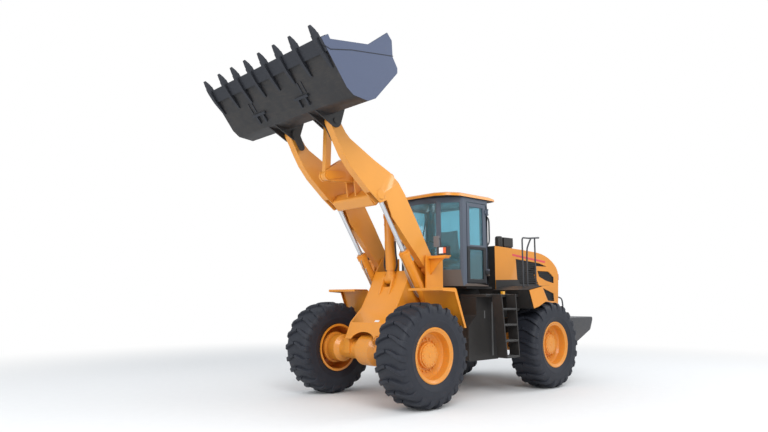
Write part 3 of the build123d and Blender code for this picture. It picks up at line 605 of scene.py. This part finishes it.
def pipe(name, places, radius, finish, body):
    """A bent steel pipe through these places, closed at both ends."""
    curve = bpy.data.curves.new(name, "CURVE")
    curve.dimensions, curve.use_fill_caps = "3D", True
    curve.bevel_depth, curve.bevel_resolution = radius / 1000, 3
    path = curve.splines.new("NURBS")
    path.points.add(len(places) - 1)
    for point, place in zip(path.points, places):
        point.co = (*spot(*place), 1)
    path.order_u, path.use_endpoint_u, path.resolution_u = 3, True, 6
    made = placed(name + "_line", curve)
    mesh = baked(made)
    bpy.data.objects.remove(made)
    mesh.shade_smooth()
    return attach(placed(name, mesh), body, finish)


(back, _, foot), (_, outer, over) = span("front_fenders")
nose_end = 1470                                 # how far ahead of the pivot the sheets reach
build = bmesh.new()
for hand, _ in hands:
    plate(build, [(nose_end, over - 40), (nose_end, over - 6), (nose_end - 6, over), (1180, over),
                  (1150, over - 16), (back, foot), (back + 12, foot), (1160, over - 26), (1184, over - 12),
                  (nose_end - 12, over - 12), (nose_end - 12, over - 40)], hand * 664, hand * outer)
    plate(build, [(nose_end - 12, over - 11), (1180, over - 11), (1156, over - 24), (back + 8, foot),
                  (back + 40, foot), (1190, over - 60), (nose_end - 12, over - 45)],
          hand * (outer - 11), hand * (outer - 1))
    block(build, (960, hand * 655, 1500), (1020, hand * 724, 1580))
    block(build, (960, hand * 684, 1300), (1020, hand * 724, 1570))
fit(as_object("front_fender_sheets", ease(build, 0.004)), "front_fenders", yellow_finish)
recoat(eased("headlamps", black_finish, 0.003), yellow_finish, lambda middle, normal: middle.z < 2.325)
lens_finish = mottled("lamp_lens", (160, 1), (0.90, 0.92, 0.94), (0.90, 0.92, 0.94), (0.12, 0), (0.3, 0.001),
                      Coat_Weight=1.0)
amber_finish = plain("amber_lens", (0.95, 0.13, 0.02), 0.15, Coat_Weight=1.0)
mirror_finish = plain("mirror_shell", (0.16, 0.17, 0.19), 0.35)
lens_x, lamp_end, _ = span("headlamps")[1]
for hand, side in hands:
    outer, mirror_y = hand * lamp_end, hand * 780
    boxed(f"headlamp_lens_{side}", (lens_x - 8, outer - hand * 150, 2346),
          (lens_x + 4, outer - hand * 66, 2444), 0.006, "front", lens_finish)
    boxed(f"turn_lens_{side}", (lens_x - 50, outer - hand * 60, 2350), (lens_x + 6, outer - hand * 10, 2440),
          0.006, "front", amber_finish)
    boxed(f"mirror_{side}", (905, mirror_y - 60, 2470), (925, mirror_y + 60, 2650), 0.008,
          "front", mirror_finish)
    build = bmesh.new()
    block(build, (868, hand * 655, 2296), (982, hand * 1046, 2318))
    for vert in block(build, (916, hand * 654, 2296), (932, hand * 1000, 2010)):
        if vert.co.z < 2.1 and abs(vert.co.y) > 0.9:
            vert.co.z, vert.co.y = 2.20, hand * 0.84
    attach(as_object(f"lamp_gusset_{side}", ease(build, 0.004)), "front", yellow_finish)
    pipe(f"mirror_arm_{side}", [(918, hand * 880, 2455), (918, hand * 872, 2600), (912, hand * 840, 2600),
                                (912, hand * 800, 2590)], 9, black_finish, "front")

# -------------------- boom and linkage
# Two arms of 130 mm plate, flame cut and ground, joined by a hollow beam; a cast bellcrank and a
# flat link carry the tilt to the bucket.  The pins are greased steel kept by bolted plates.
arm_finish = paint_finish("arm_paint", (0.80, 0.33, 0.045), dust=0.1)
for node in ("boom_arm_left", "boom_arm_right", "boom_crossbeam", "bellcrank", "bucket_link"):
    eased(node, arm_finish, 0.006)

# -------------------- cylinders
# Honed tubes with a bolted gland and a clamp for the steel pipe, painted with the machine; the rods
# are hard chromed.  The tilt cylinder's pipes go on as short clamped hoses.
chrome_finish = mottled("chromed_rod", (30, 2), (0.56, 0.57, 0.60), (0.70, 0.71, 0.73), (0.12, 0.12),
                        Metallic=1.0)
for node in ("tilt_barrel", "lift_barrel", "steering_barrel_left", "steering_barrel_right"):
    eased(node, yellow_finish if "steering" not in node else black_finish, 0.003)
for node in ("tilt_rod", "lift_rod", "steering_rod_left", "steering_rod_right"):
    eased(node, chrome_finish, 0.002)


def collar(foot, head, share, across, radius, length, bolts):
    """Meshes of a collar round a cylinder, at a share of the way from foot to head, and of its bolts."""
    along = spot(head[0], 0, head[1]) - spot(foot[0], 0, foot[1])
    turn = Vector((0, 1, 0)).rotation_difference(along).to_matrix().to_4x4()
    build = bmesh.new()
    lathe(build, [(radius - 0.020, -length / 2), (radius, -length / 2), (radius, length / 2),
                  (radius - 0.020, length / 2)], 40, closed=True)
    parts = [as_mesh(ease(build, 0.003), yellow_finish)]
    if bolts:
        parts.append(bolt_ring(0.009, 0.010, length / 2, radius - 0.011, bolts, yellow_finish))
    for mesh in parts:
        mesh.transform(Matrix.Translation(spot(foot[0], across, foot[1]) + along * share) @ turn)
    return parts


lift_foot, lift_head = (830, 1430), (2009, 3252)
tilt_foot, tilt_head = (1203, 1946), (1290, 3676)
# metres between the pins, places across, the gland's share of the way up, radii of sleeve, gland and clamps
for name, foot, head, between, places, gland, sleeve_radius, gland_radius, clamp_radius in (
        ("lift", lift_foot, lift_head, 2.17, (525, -525), 0.495, 0.080, 0.090, 0.086),
        ("tilt", tilt_foot, tilt_head, 1.732, (0,), 0.625, 0.094, 0.104, 0.098)):
    parts = []
    for across in places:
        for share, radius, length, bolts in ((gland / 2 + 0.045, sleeve_radius, (gland - 0.09) * between, 0),
                                             (gland, gland_radius, 0.070, 10),
                                             (gland - 0.085, clamp_radius, 0.032, 0),
                                             (gland - 0.26, clamp_radius, 0.032, 0)):
            parts += collar(foot, head, share, across, radius, length, bolts)
    attach(join(f"{name}_collars", *parts), f"{name}_barrel")


def beside(foot, head, *places):
    """Places beside a cylinder, told by the share of the way up it, across, and off from its middle line."""
    ahead, rise = head[0] - foot[0], head[1] - foot[1]
    length = hypot(ahead, rise)
    return [(foot[0] + share * ahead + off * rise / length, across,
             foot[1] + share * rise - off * ahead / length) for share, across, off in places]


hose_finish = mottled("hose_rubber", (220, 2), (0.006, 0.006, 0.007), (0.020, 0.020, 0.022), (0.55, 0),
                      (0.3, 0.001))
pipe_finish = plain("plated_pipe", (0.55, 0.54, 0.50), 0.3, Metallic=0.8)
for across, top, side, finish in ((120, 0.60, "left", pipe_finish), (-120, 0.44, "right", yellow_finish)):
    pipe(f"tilt_pipe_{side}", beside(tilt_foot, tilt_head, (top, across * 0.6, 0), (top, across, 0),
                                     (0.36, across, 0)), 9, finish, "tilt_barrel")
    pipe(f"tilt_hose_{side}", beside(tilt_foot, tilt_head, (0.37, across, 0), (0.26, across, 0),
                                     (0.19, across * 1.25, 8), (0.115, across * 1.3, 10),
                                     (0.08, across * 0.9, 10)), 15, hose_finish, "tilt_barrel")
for hand, side in hands:
    for row in (0, 1):
        y, top = hand * (505 - 40 * row), 0.48 - 0.08 * row
        pipe(f"lift_pipe_{side}_{row}", beside(lift_foot, lift_head, (top + 0.01, hand * 485, 70),
                                               (top, y, 98), (0.22, y, 98), (0.16, y, 92), (0.13, y, 60)), 9,
             pipe_finish, "lift_barrel")

# -------------------- bucket
# Welded of rolled plate: a curved shell, side plates with a stiffened upper strip, a thick cutting
# edge and eight forged teeth in welded adapters.  The side plates are blue-grey outside; the shell is
# near-black, painted shade under the raised bucket, with paler scoured patches and scratches of real wear.


def scraped(name, scale, share, edge, soft, painted, bare, roughness, gloss, depth):
    """Paint scoured through in patches: worn at a cloudy scale and scratched along the plate."""
    finish = Finish(name)
    wear, scrape = finish.noise(scale, 6, 0.7), finish.noise(24, 5, 0.7, (1, 0.35, 3))
    return finish.surface(
        Base_Color=finish.blend((share * wear + (1 - share) * scrape).above(edge, soft), painted, bare),
        Roughness=roughness + gloss * scrape, Normal=finish.bump(scrape, depth, 0.002))


side_finish = scraped("bucket_paint", scale=5, share=0.6, edge=0.66, soft=0.08, roughness=0.46, gloss=0.2,
                      depth=0.15, painted=(0.076, 0.096, 0.160), bare=(0.13, 0.12, 0.12))
# The shell's near-black is painted shade under the raised bucket; the paler patches and scratches are wear.
shell_finish = scraped("scoured_and_shaded_plate", scale=4, share=0.5, edge=0.55, soft=0.14, roughness=0.40, gloss=0.3,
                       depth=0.25, painted=(0.015, 0.015, 0.017), bare=(0.040, 0.034, 0.030))
tooth_finish = mottled("tooth_steel", (50, 5, 0.7), (0.020, 0.022, 0.028), (0.052, 0.055, 0.066), (0.38, 0.2),
                       (0.2, 0.001), Metallic=0.5)
bucket = eased("bucket", shell_finish, 0.005)
bucket_side = span("bucket")[1][1] - 2
# Only the outer faces of the side plates take the blue-grey; every other face keeps the shell's painted
# shade.
recoat(bucket, side_finish, lambda middle, normal: abs(normal.y) > 0.9 and abs(middle.y) * 1000 > bucket_side)
slope = radians(52)                             # how the floor climbs at rest
lip = (3917, 4988)                              # where the floor meets the side plate's front


def floor_spot(u, v):
    """A place told along the bucket's floor from its lip and square to the floor."""
    return lip[0] + u * cos(slope) - v * sin(slope), lip[1] + u * sin(slope) + v * cos(slope)


def under_floor(build, u_low, u_high, y_low, y_high, v_low, v_high):
    """Adds a flat bar on the bucket's floor."""
    corners = ((u_low, v_low), (u_high, v_low), (u_high, v_high), (u_low, v_high))
    plate(build, [floor_spot(u, v) for u, v in corners], y_low, y_high)


build = bmesh.new()
edge_half = bucket_side - 2
under_floor(build, -190, 12, -edge_half, edge_half, -30, -2)
corner_tooth, tooth_pitch = 1430, 387
tooth_places = [-corner_tooth, *[(i - 2.5) * tooth_pitch for i in range(6)], corner_tooth]
# sections of a tooth in its adapter: along the floor, half width, underside and top
tooth_sections = ((-420, 18, -12, -3), (-405, 22, -22, -3), (-250, 30, -48, -3), (-170, 34, -60, -3),
                  (-20, 36, -66, -3), (-16, 36, -66, 26), (70, 31, -64, 28), (74, 26, -58, 24),
                  (120, 23, -54, 16), (190, 14, -44, -10), (197, 10, -40, -16))
for place in tooth_places:
    rings = []
    for u, half, v_low, v_high in tooth_sections:
        rings.append([build.verts.new(spot(floor_spot(u, v)[0], place + y, floor_spot(u, v)[1]))
                      for y, v in ((-half, v_low), (half, v_low), (half, v_high), (-half, v_high))])
    skin(build, rings)
fit(as_object("bucket_teeth_forged", ease(build, 0.004)), "bucket_teeth", tooth_finish)
top_strip = [(3880, 4890), (3757, 4862), (3390, 4955), (2614, 5084), (2611, 5096), (3390, 4967),
             (3757, 4875), (3870, 4903)]
build = bmesh.new()
for hand, _ in hands:
    for y_low, y_high in ((600, 625), (700, 712)):
        under_floor(build, -582, -413, hand * y_low, hand * y_high, -10, -2)
    under_floor(build, -645, -605, hand * 395, hand * 725, -30, -2)
    for y in (455, 630):
        under_floor(build, -770, -640, hand * y, hand * (y + 35), -28, -2)
    plate(build, top_strip, hand * (bucket_side - 1), hand * (bucket_side + 5))
attach(as_object("bucket_trim", ease(build, 0.002)), "bucket", tooth_finish)

# -------------------- cab
# A steel cab with blue-grey posts and tinted panes glued into rubber, under an orange roof of pressed
# sheet whose underside is painted black as painted shade.  The lower band is grey-brown; the door hangs at
# its front.
cab_finish = paint_finish("cab_paint", (0.075, 0.092, 0.125), dust=0.2, roughness=0.36)
band_finish = paint_finish("band_paint", (0.115, 0.085, 0.068), dust=0.3, roughness=0.45)
shell = eased("cab_shell", cab_finish, 0.006)
recoat(shell, band_finish, lambda middle, normal: middle.z < 2.09 and abs(normal.z) < 0.5)
low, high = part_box("cab_roof")
build = bmesh.new()
corner = 0.16                                   # how far the roof's rear corners are cut back
crown_rings = []
for rise, inset in ((0, 0.0), (0.004, 0.0), (0.045, 0.006), (0.068, 0.05), (0.078, 0.14), (0.084, 0.34)):
    x_low, x_high, y_half = low[0] + inset, high[0] - inset, high[1] - inset
    half_outline = [(x_high, y_half - 0.33), (x_high - 0.10, y_half - 0.12), (x_high - 0.30, y_half),
                    (x_low + corner, y_half), (x_low + 0.04, y_half - 0.04), (x_low, y_half - corner)]
    other_half = [(x, -y) for x, y in half_outline]
    crown_rings.append([build.verts.new((x, y, low[2] + rise))
                        for x, y in other_half[:1] + half_outline + other_half[:0:-1]])
skin(build, crown_rings)
roof = fit(as_object("cab_roof_pressed", ease(build, 0.004, 40), 50), "cab_roof", yellow_finish)
# Faces that point down take black paint: painted shade under the roof.
recoat(roof, black_finish, lambda middle, normal: normal.z < -0.7)
door_paint = Finish("door_paint")
upper, fade = door_paint.height().above(2.53, 0.004), door_paint.noise(5, 4)
door_finish = door_paint.surface(
    Base_Color=door_paint.blend(upper, (0.010, 0.010, 0.012), (0.075, 0.092, 0.125)),
    Roughness=0.30 + 0.15 * fade, Coat_Weight=0.2)
eased("cab_door", door_finish, 0.005)
pane_finish = mottled("tinted_glass", (2, 2), (0.44, 0.79, 0.88), (0.40, 0.76, 0.86), (0.02, 0),
                      Transmission_Weight=0.9, IOR=1.2, Coat_Weight=0.8)
for node in ("cab_glass", "door_glass"):
    coat(bpy.data.objects[node], pane_finish)
eased("steering_console", black_finish, 0.004)
for name, radius, places in (("wiper_arm", 7, [(550, 20, 2150), (556, 60, 2420), (556, 130, 2700)]),
                             ("wiper_blade", 8, [(553, 70, 2450), (553, 190, 2960)])):
    pipe(name, places, radius, black_finish, "rear")
build = bmesh.new()
hoop(build, 0.20, 0.015, 40)
lathe(build, [(0.045, -0.03), (0.05, 0.0), (0.03, 0.012), (0.0005, 0.014)], 20)
for turn in (0.5, 2.6, 4.7):
    for vert in block(build, (0, 0, 0), (1, 1, 1)):
        local = vert.co - spot(0, 0, 0)
        along, side = 0.195 if local.x > 0.0005 else 0.03, 0.018 if local.y > 0.0005 else -0.018
        rise = 0.004 if local.z > 0.0005 else -0.006
        vert.co = (along * cos(turn) - side * sin(turn), rise, along * sin(turn) + side * cos(turn))
wheel = as_object("steering_wheel", build)
low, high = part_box("steering_console")
wheel.data.transform(Matrix.Translation((low[0] + 0.03, 0, high[2] + 0.03))
                     @ Matrix.Rotation(radians(62), 4, "Y") @ Matrix.Rotation(radians(90), 4, "X"))
attach(wheel, "rear", black_finish)

# -------------------- seat
# A sprung operator's seat: foam cushion and back in dark grey woven cloth with sewn grooves, on a
# black pan and stand bolted to the cab's floor.
cloth_finish = mottled("seat_cloth", (420, 2, 0.5, (1, 1, 4)), (0.030, 0.032, 0.036), (0.075, 0.078, 0.085),
                       (0.9, 0), (0.4, 0.0012))
low, high = [Vector(corner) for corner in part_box("seat")]


def cushion(name, size, bulge, place, lean):
    """A crowned cushion whose sides pull in between its corners, with two shallow grooves across it."""
    build = bmesh.new()
    steps = 14                                  # faces along each side
    for side in (1, -1):
        grid = [[None] * (steps + 1) for _ in range(steps + 1)]
        for i in range(steps + 1):
            for j in range(steps + 1):
                s, t = 2 * i / steps - 1, 2 * j / steps - 1
                pull = 1 - 0.035 * (1 - s * s) * abs(t) - 0.035 * (1 - t * t) * abs(s)
                crown = (1 - s ** 6) * (1 - t ** 6)
                groove = 0.0072 * max(0, 1 - abs(abs(s) - 0.55) / 0.08) if side > 0 else 0
                z = side * (size[2] / 2 * (0.35 + 0.65 * crown) + bulge * (1 - s * s) * (1 - t * t)
                            - groove)
                grid[i][j] = build.verts.new((s * size[0] / 2 * pull, t * size[1] / 2 * pull, z))
        for i in range(steps):
            for j in range(steps):
                build.faces.new((grid[i][j], grid[i + 1][j], grid[i + 1][j + 1], grid[i][j + 1]))
        edge = [grid[i][0] for i in range(steps)] + [grid[steps][j] for j in range(steps)] + \
               [grid[i][steps] for i in range(steps, 0, -1)] + [grid[0][j] for j in range(steps, 0, -1)]
        if side > 0:
            upper = edge
    strip(build, upper, edge)
    obj = as_object(name, build, 80)
    obj.data.transform(Matrix.Translation(place) @ Matrix.Rotation(lean, 4, "Y"))
    obj.data.materials.append(cloth_finish)
    return obj


middle = (low.x + high.x) / 2
seat_parts = [
    cushion("seat_cushion", (0.46, 0.44, 0.11), 0.012, (middle + 0.04, 0, low.z + 0.43), radians(-4)),
    cushion("seat_back", (0.52, 0.42, 0.10), 0.012, (low.x + 0.075, 0, low.z + 0.74), radians(-82))]
build = bmesh.new()
block(build, (-330, -170, 1890), (40, 170, 1990))
block(build, (-250, -110, 1990), (-40, 110, 2180))
block(build, (-330, -200, 2180), (90, 200, 2230))
attach(as_object("seat_stand", ease(build, 0.01)), "rear", black_finish)
for part in seat_parts:
    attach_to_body(part, "rear")
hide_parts("seat")

# -------------------- hood
# Pressed steel side panels and a curved lid over the engine, orange, with three slanted openings a
# side closed by black slats and a red stripe along the lid's edge.  A louvred door hangs behind.
hood_side = span("engine_hood")[1][1]
hood_line = [(-917, 1252), (-917, 2603), (-1727, 2577), (-2319, 2549), (-2500, 2525), (-2640, 2492),
             (-2760, 2450), (-2870, 2398), (-2970, 2335), (-3050, 2265), (-3100, 2185), (-3122, 2100),
             (-3076, 1510), (-3076, 1252)]
build = bmesh.new()
plate(build, hood_line, -hood_side, hood_side)
ease(build, 0.035, 60, 4)
hood = as_object("hood_panels", build, 30)


def both_sides(outlines, near, far):
    """Plates with these outlines on both sides of the machine, between two distances across."""
    build = bmesh.new()
    for outline in outlines:
        for hand, _ in hands:
            plate(build, outline, hand * near, hand * far)
    return build


openings = [[(-1590, 2385), (-2400, 2335), (-2690, 2270), (-2300, 2270), (-2240, 2100), (-2370, 1885),
             (-1700, 1900), (-1620, 2000)],
            [(-2330, 2175), (-2740, 2175), (-2930, 2065), (-2925, 1935), (-2640, 1980), (-2390, 2060)],
            [(-2520, 1830), (-2910, 1723), (-2926, 1560), (-2690, 1575)]]
carved(hood, "DIFFERENCE", both_sides(openings, hood_side - 32, hood_side + 20))
build = bmesh.new()
(_, door_right, door_foot), (_, door_left, door_top) = span("rear_grille_door")
block(build, (-3300, door_right - 5, door_foot - 5), (-2420, door_left + 5, door_top + 5))
carved(hood, "DIFFERENCE", build)
fit(hood, "engine_hood", yellow_finish)
# Faces facing ahead or back, and the inner faces of the side openings and of the door's recess, take black
# paint: inside the openings and the recess it is painted shade behind the slats and the door.
recoat(hood, black_finish, lambda middle, normal: abs(normal.x) > 0.9
       or abs(middle.y) * 1000 < hood_side - 20 and abs(normal.y) > 0.9)
mesh_finish = mottled("grille_mesh", (120, 1), (0.008, 0.008, 0.009), (0.030, 0.030, 0.033), (0.6, 0),
                      (0.6, 0.004))
slats = []
for hand, _ in hands:
    build = bmesh.new()
    block(build, (-3000, hand * (hood_side - 26), 1470), (-1500, hand * (hood_side - 6), 1484))
    slats.append(repeated(as_object("slat", build), 22, mesh_finish, step=(0, 0, 0.042)))
grilles = join("side_grille_slats", *slats)
carved(grilles, "INTERSECT", both_sides(openings, hood_side - 29, hood_side - 2))
fit(grilles, "side_grilles", mesh_finish)
stripe_finish = plain("red_stripe", (0.72, 0.075, 0.085), 0.35)
base_line = [(-925, 1258), (-925, 1962), (-1645, 1982), (-1696, 1903), (-2366, 1888), (-2460, 1560),
             (-2440, 1258)]
stripe_line = [(-1475, 2481), (-1484, 2440), (-2616, 2345), (-2640, 2385)]
for hand, side in hands:
    build = bmesh.new()
    plate(build, base_line, hand * (hood_side - 1), hand * (hood_side + 8))
    attach(as_object(f"hood_base_{side}", ease(build, 0.003)), "rear", black_finish)
    build = bmesh.new()
    plate(build, stripe_line, hand * (hood_side - 1), hand * (hood_side + 1.5))
    attach(as_object(f"hood_stripe_{side}", build), "rear", stripe_finish)
eased("engine_block", black_finish, 0.003)
grille_door = eased("rear_grille_door", black_finish, 0.003)
behind = [grille_door.ray_cast(Vector((-9, 0.1, z)), Vector((1, 0, 0)))[1] for z in (1.42, 2.08)]
build = bmesh.new()
foot_x, foot_z = (behind[0].x - pivot) * 1000, behind[0].z * 1000
plate(build, [(foot_x + x, foot_z + z) for x, z in ((-12, 0), (2, 4), (2, 26), (-4, 26))], -420, 440)
louvre_count, louvre_finish = 14, plain("louvre_paint", (0.050, 0.052, 0.056), 0.4)
run = (behind[1] - behind[0]) / (louvre_count - 1)
louvres = repeated(as_object("louvre", build), louvre_count, louvre_finish, step=(run.x, 0, run.z))
attach(join("rear_louvres", louvres), "rear_grille_door")

# -------------------- air intake
# A spun steel pre-cleaner and its flat box on a plinth let into the hood, all satin black.
build = bmesh.new()
block(build, (-1625, 345, 2560), (-1360, 495, 2625))
block(build, (-1640, 330, 2625), (-1345, 510, 2800))
lathe(build, [(0.0005, -0.02), (0.075, -0.02), (0.075, 0.15), (0.070, 0.175), (0.052, 0.192),
              (0.0005, 0.196)], 32)
cleaner = as_object("air_intake_box", ease(build, 0.012, 50), 40)
for vert in cleaner.data.vertices:
    if vert.co.x > pivot:                       # the spun part, made round the origin
        vert.co = Vector((pivot - 1.300, 0.420, 2.630)) + Vector((vert.co.x, vert.co.z, vert.co.y))
fit(cleaner, "air_intake", black_finish)

# -------------------- tanks and steps
# Black sheet tanks hang under the cab; platforms with raised treads and three-rung ladders, welded of
# plate, lead to it.  Two worn steel bars stand on the outer side of each tank.
for node in ("side_tanks", "platforms"):
    eased(node, black_finish, 0.004)
step_finish = plain("worn_step", (0.20, 0.20, 0.20), 0.5, Metallic=0.4)
recoat(eased("ladders", black_finish, 0.004), step_finish, lambda middle, normal: abs(normal.z) > 0.6)
_, deck_half, deck_top = span("platforms")[1]
treads = []
for hand, _ in hands:
    for row in range(4):
        build = bmesh.new()
        lathe(build, [(0.016, 0), (0.012, 0.003), (0.0005, 0.003)], 4)
        tread = as_object("tread", build)
        place = spot(-815 + 30 * (row % 2), hand * (deck_half - 30 - 48 * row), deck_top)
        tread.data.transform(Matrix.Translation(place) @ Matrix.Rotation(radians(90), 4, "X")
                             @ Matrix.Diagonal((1, 1, 0.4, 1)))
        treads.append(repeated(tread, 15, step_finish, step=(0.06, 0, 0)))
attach(join("platform_treads", *treads), "rear")
tank_side = span("side_tanks")[1][1]
for hand, side in hands:
    build = bmesh.new()
    block(build, (-330, hand * (tank_side - 1), 640), (-300, hand * (tank_side + 14), 1560))
    block(build, (-120, hand * (tank_side - 1), 1280), (-100, hand * (tank_side + 6), 1410))
    attach(as_object(f"tank_bars_{side}", ease(build, 0.003)), "rear", step_finish)

# -------------------- rear fenders
# Folded steel sheet over each rear tyre, bolted under the platform: orange outside and sprayed black
# on top and beneath, with a pressed cheek hanging at its outer edge.
fender_line = [(-940, 1440), (-806, 1771), (-1216, 1844), (-1570, 1858), (-1570, 1846), (-1218, 1832),
               (-822, 1762), (-955, 1440)]
cheek = [(-940, 1440), (-806, 1771), (-1216, 1844), (-1365, 1575), (-1120, 1480)]
build = bmesh.new()
for hand, _ in hands:
    plate(build, fender_line, hand * (hood_side + 2), hand * 1400)
    plate(build, cheek, hand * 1388, hand * 1400)
fenders = fit(as_object("rear_fender_sheets", ease(build, 0.004)), "rear_fenders", yellow_finish)
recoat(fenders, black_finish, lambda middle, normal: abs(normal.y) < 0.8)

# -------------------- rails, reflectors and step lamps
# Bent steel pipe sprayed dark grey: hand rails on the platforms, grab rails on the cab and guards
# behind the hood, all welded to feet.  Stuck-on reflectors and an amber lamp mark each ladder.
white_finish = plain("reflector_white", (0.75, 0.75, 0.75), 0.3)
for hand, side in hands:
    for name, finish, z in (("white", white_finish, 1450), ("red", amber_finish, 1510),
                            ("pale", white_finish, 1570)):
        boxed(f"reflector_{name}_{side}", (-285, hand * (deck_half - 2), z),
              (-245, hand * (deck_half + 6), z + 58), 0.002, "rear", finish)
rail_finish = plain("rail_paint", (0.055, 0.058, 0.065), 0.4)
lamp_finish = plain("lamp_amber", (0.90, 0.42, 0.03), 0.2, Coat_Weight=1.0)
for hand, side in hands:
    y, grab_y, guard_y = hand * 1100, hand * 690, hand * 570
    for name, radius, places in (
            ("rail_hoop", 15, [(-1088, y, 1815), (-1088, y, 2600), (-1088, y, 2735), (-1190, y, 2735),
                               (-1330, y, 2738)]),
            ("rail_brace", 15, [(-1225, y, 1832), (-1215, y, 2480), (-1280, y, 2620), (-1380, y, 2745)]),
            ("rail_post", 15, [(-1500, y, 1846), (-1500, y, 2755)]),
            ("rail_bar", 17, [(-1320, y, 2738), (-1640, y, 2768)]),
            ("cab_grab", 15, [(-560, grab_y, 2590), (-640, grab_y, 2590), (-640, grab_y, 2850),
                              (-640, grab_y, 3110), (-560, grab_y, 3110)]),
            ("hood_guard", 15, [(-3060, guard_y, 1650), (-3260, guard_y, 1650), (-3310, guard_y, 1500),
                                (-3320, guard_y, 1250)])):
        pipe(f"{name}_{side}", places, radius, rail_finish, "rear")
    boxed(f"step_lamp_{side}", (-445, hand * 1105, 1688), (-385, hand * 1150, 1742), 0.008, "rear",
          lamp_finish)
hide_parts("handrails")

# -------------------- counterweight and tail lamps
# An iron casting bolted across the end of the rear frame, with rounded edges and a thick coat of
# dull dark grey.  Red lamps are let into the hood's rear corners.
weight_finish = paint_finish("counterweight_paint", (0.036, 0.038, 0.045), dust=0.2, roughness=0.45)
eased("counterweight", weight_finish, 0.02)
tail_finish = plain("tail_lens", (0.45, 0.012, 0.010), 0.2, Coat_Weight=1.0)
for hand, side in hands:
    boxed(f"tail_lamp_{side}", (-3150, hand * 505, 2010), (-3095, hand * 590, 2130), 0.008, "rear",
          tail_finish)
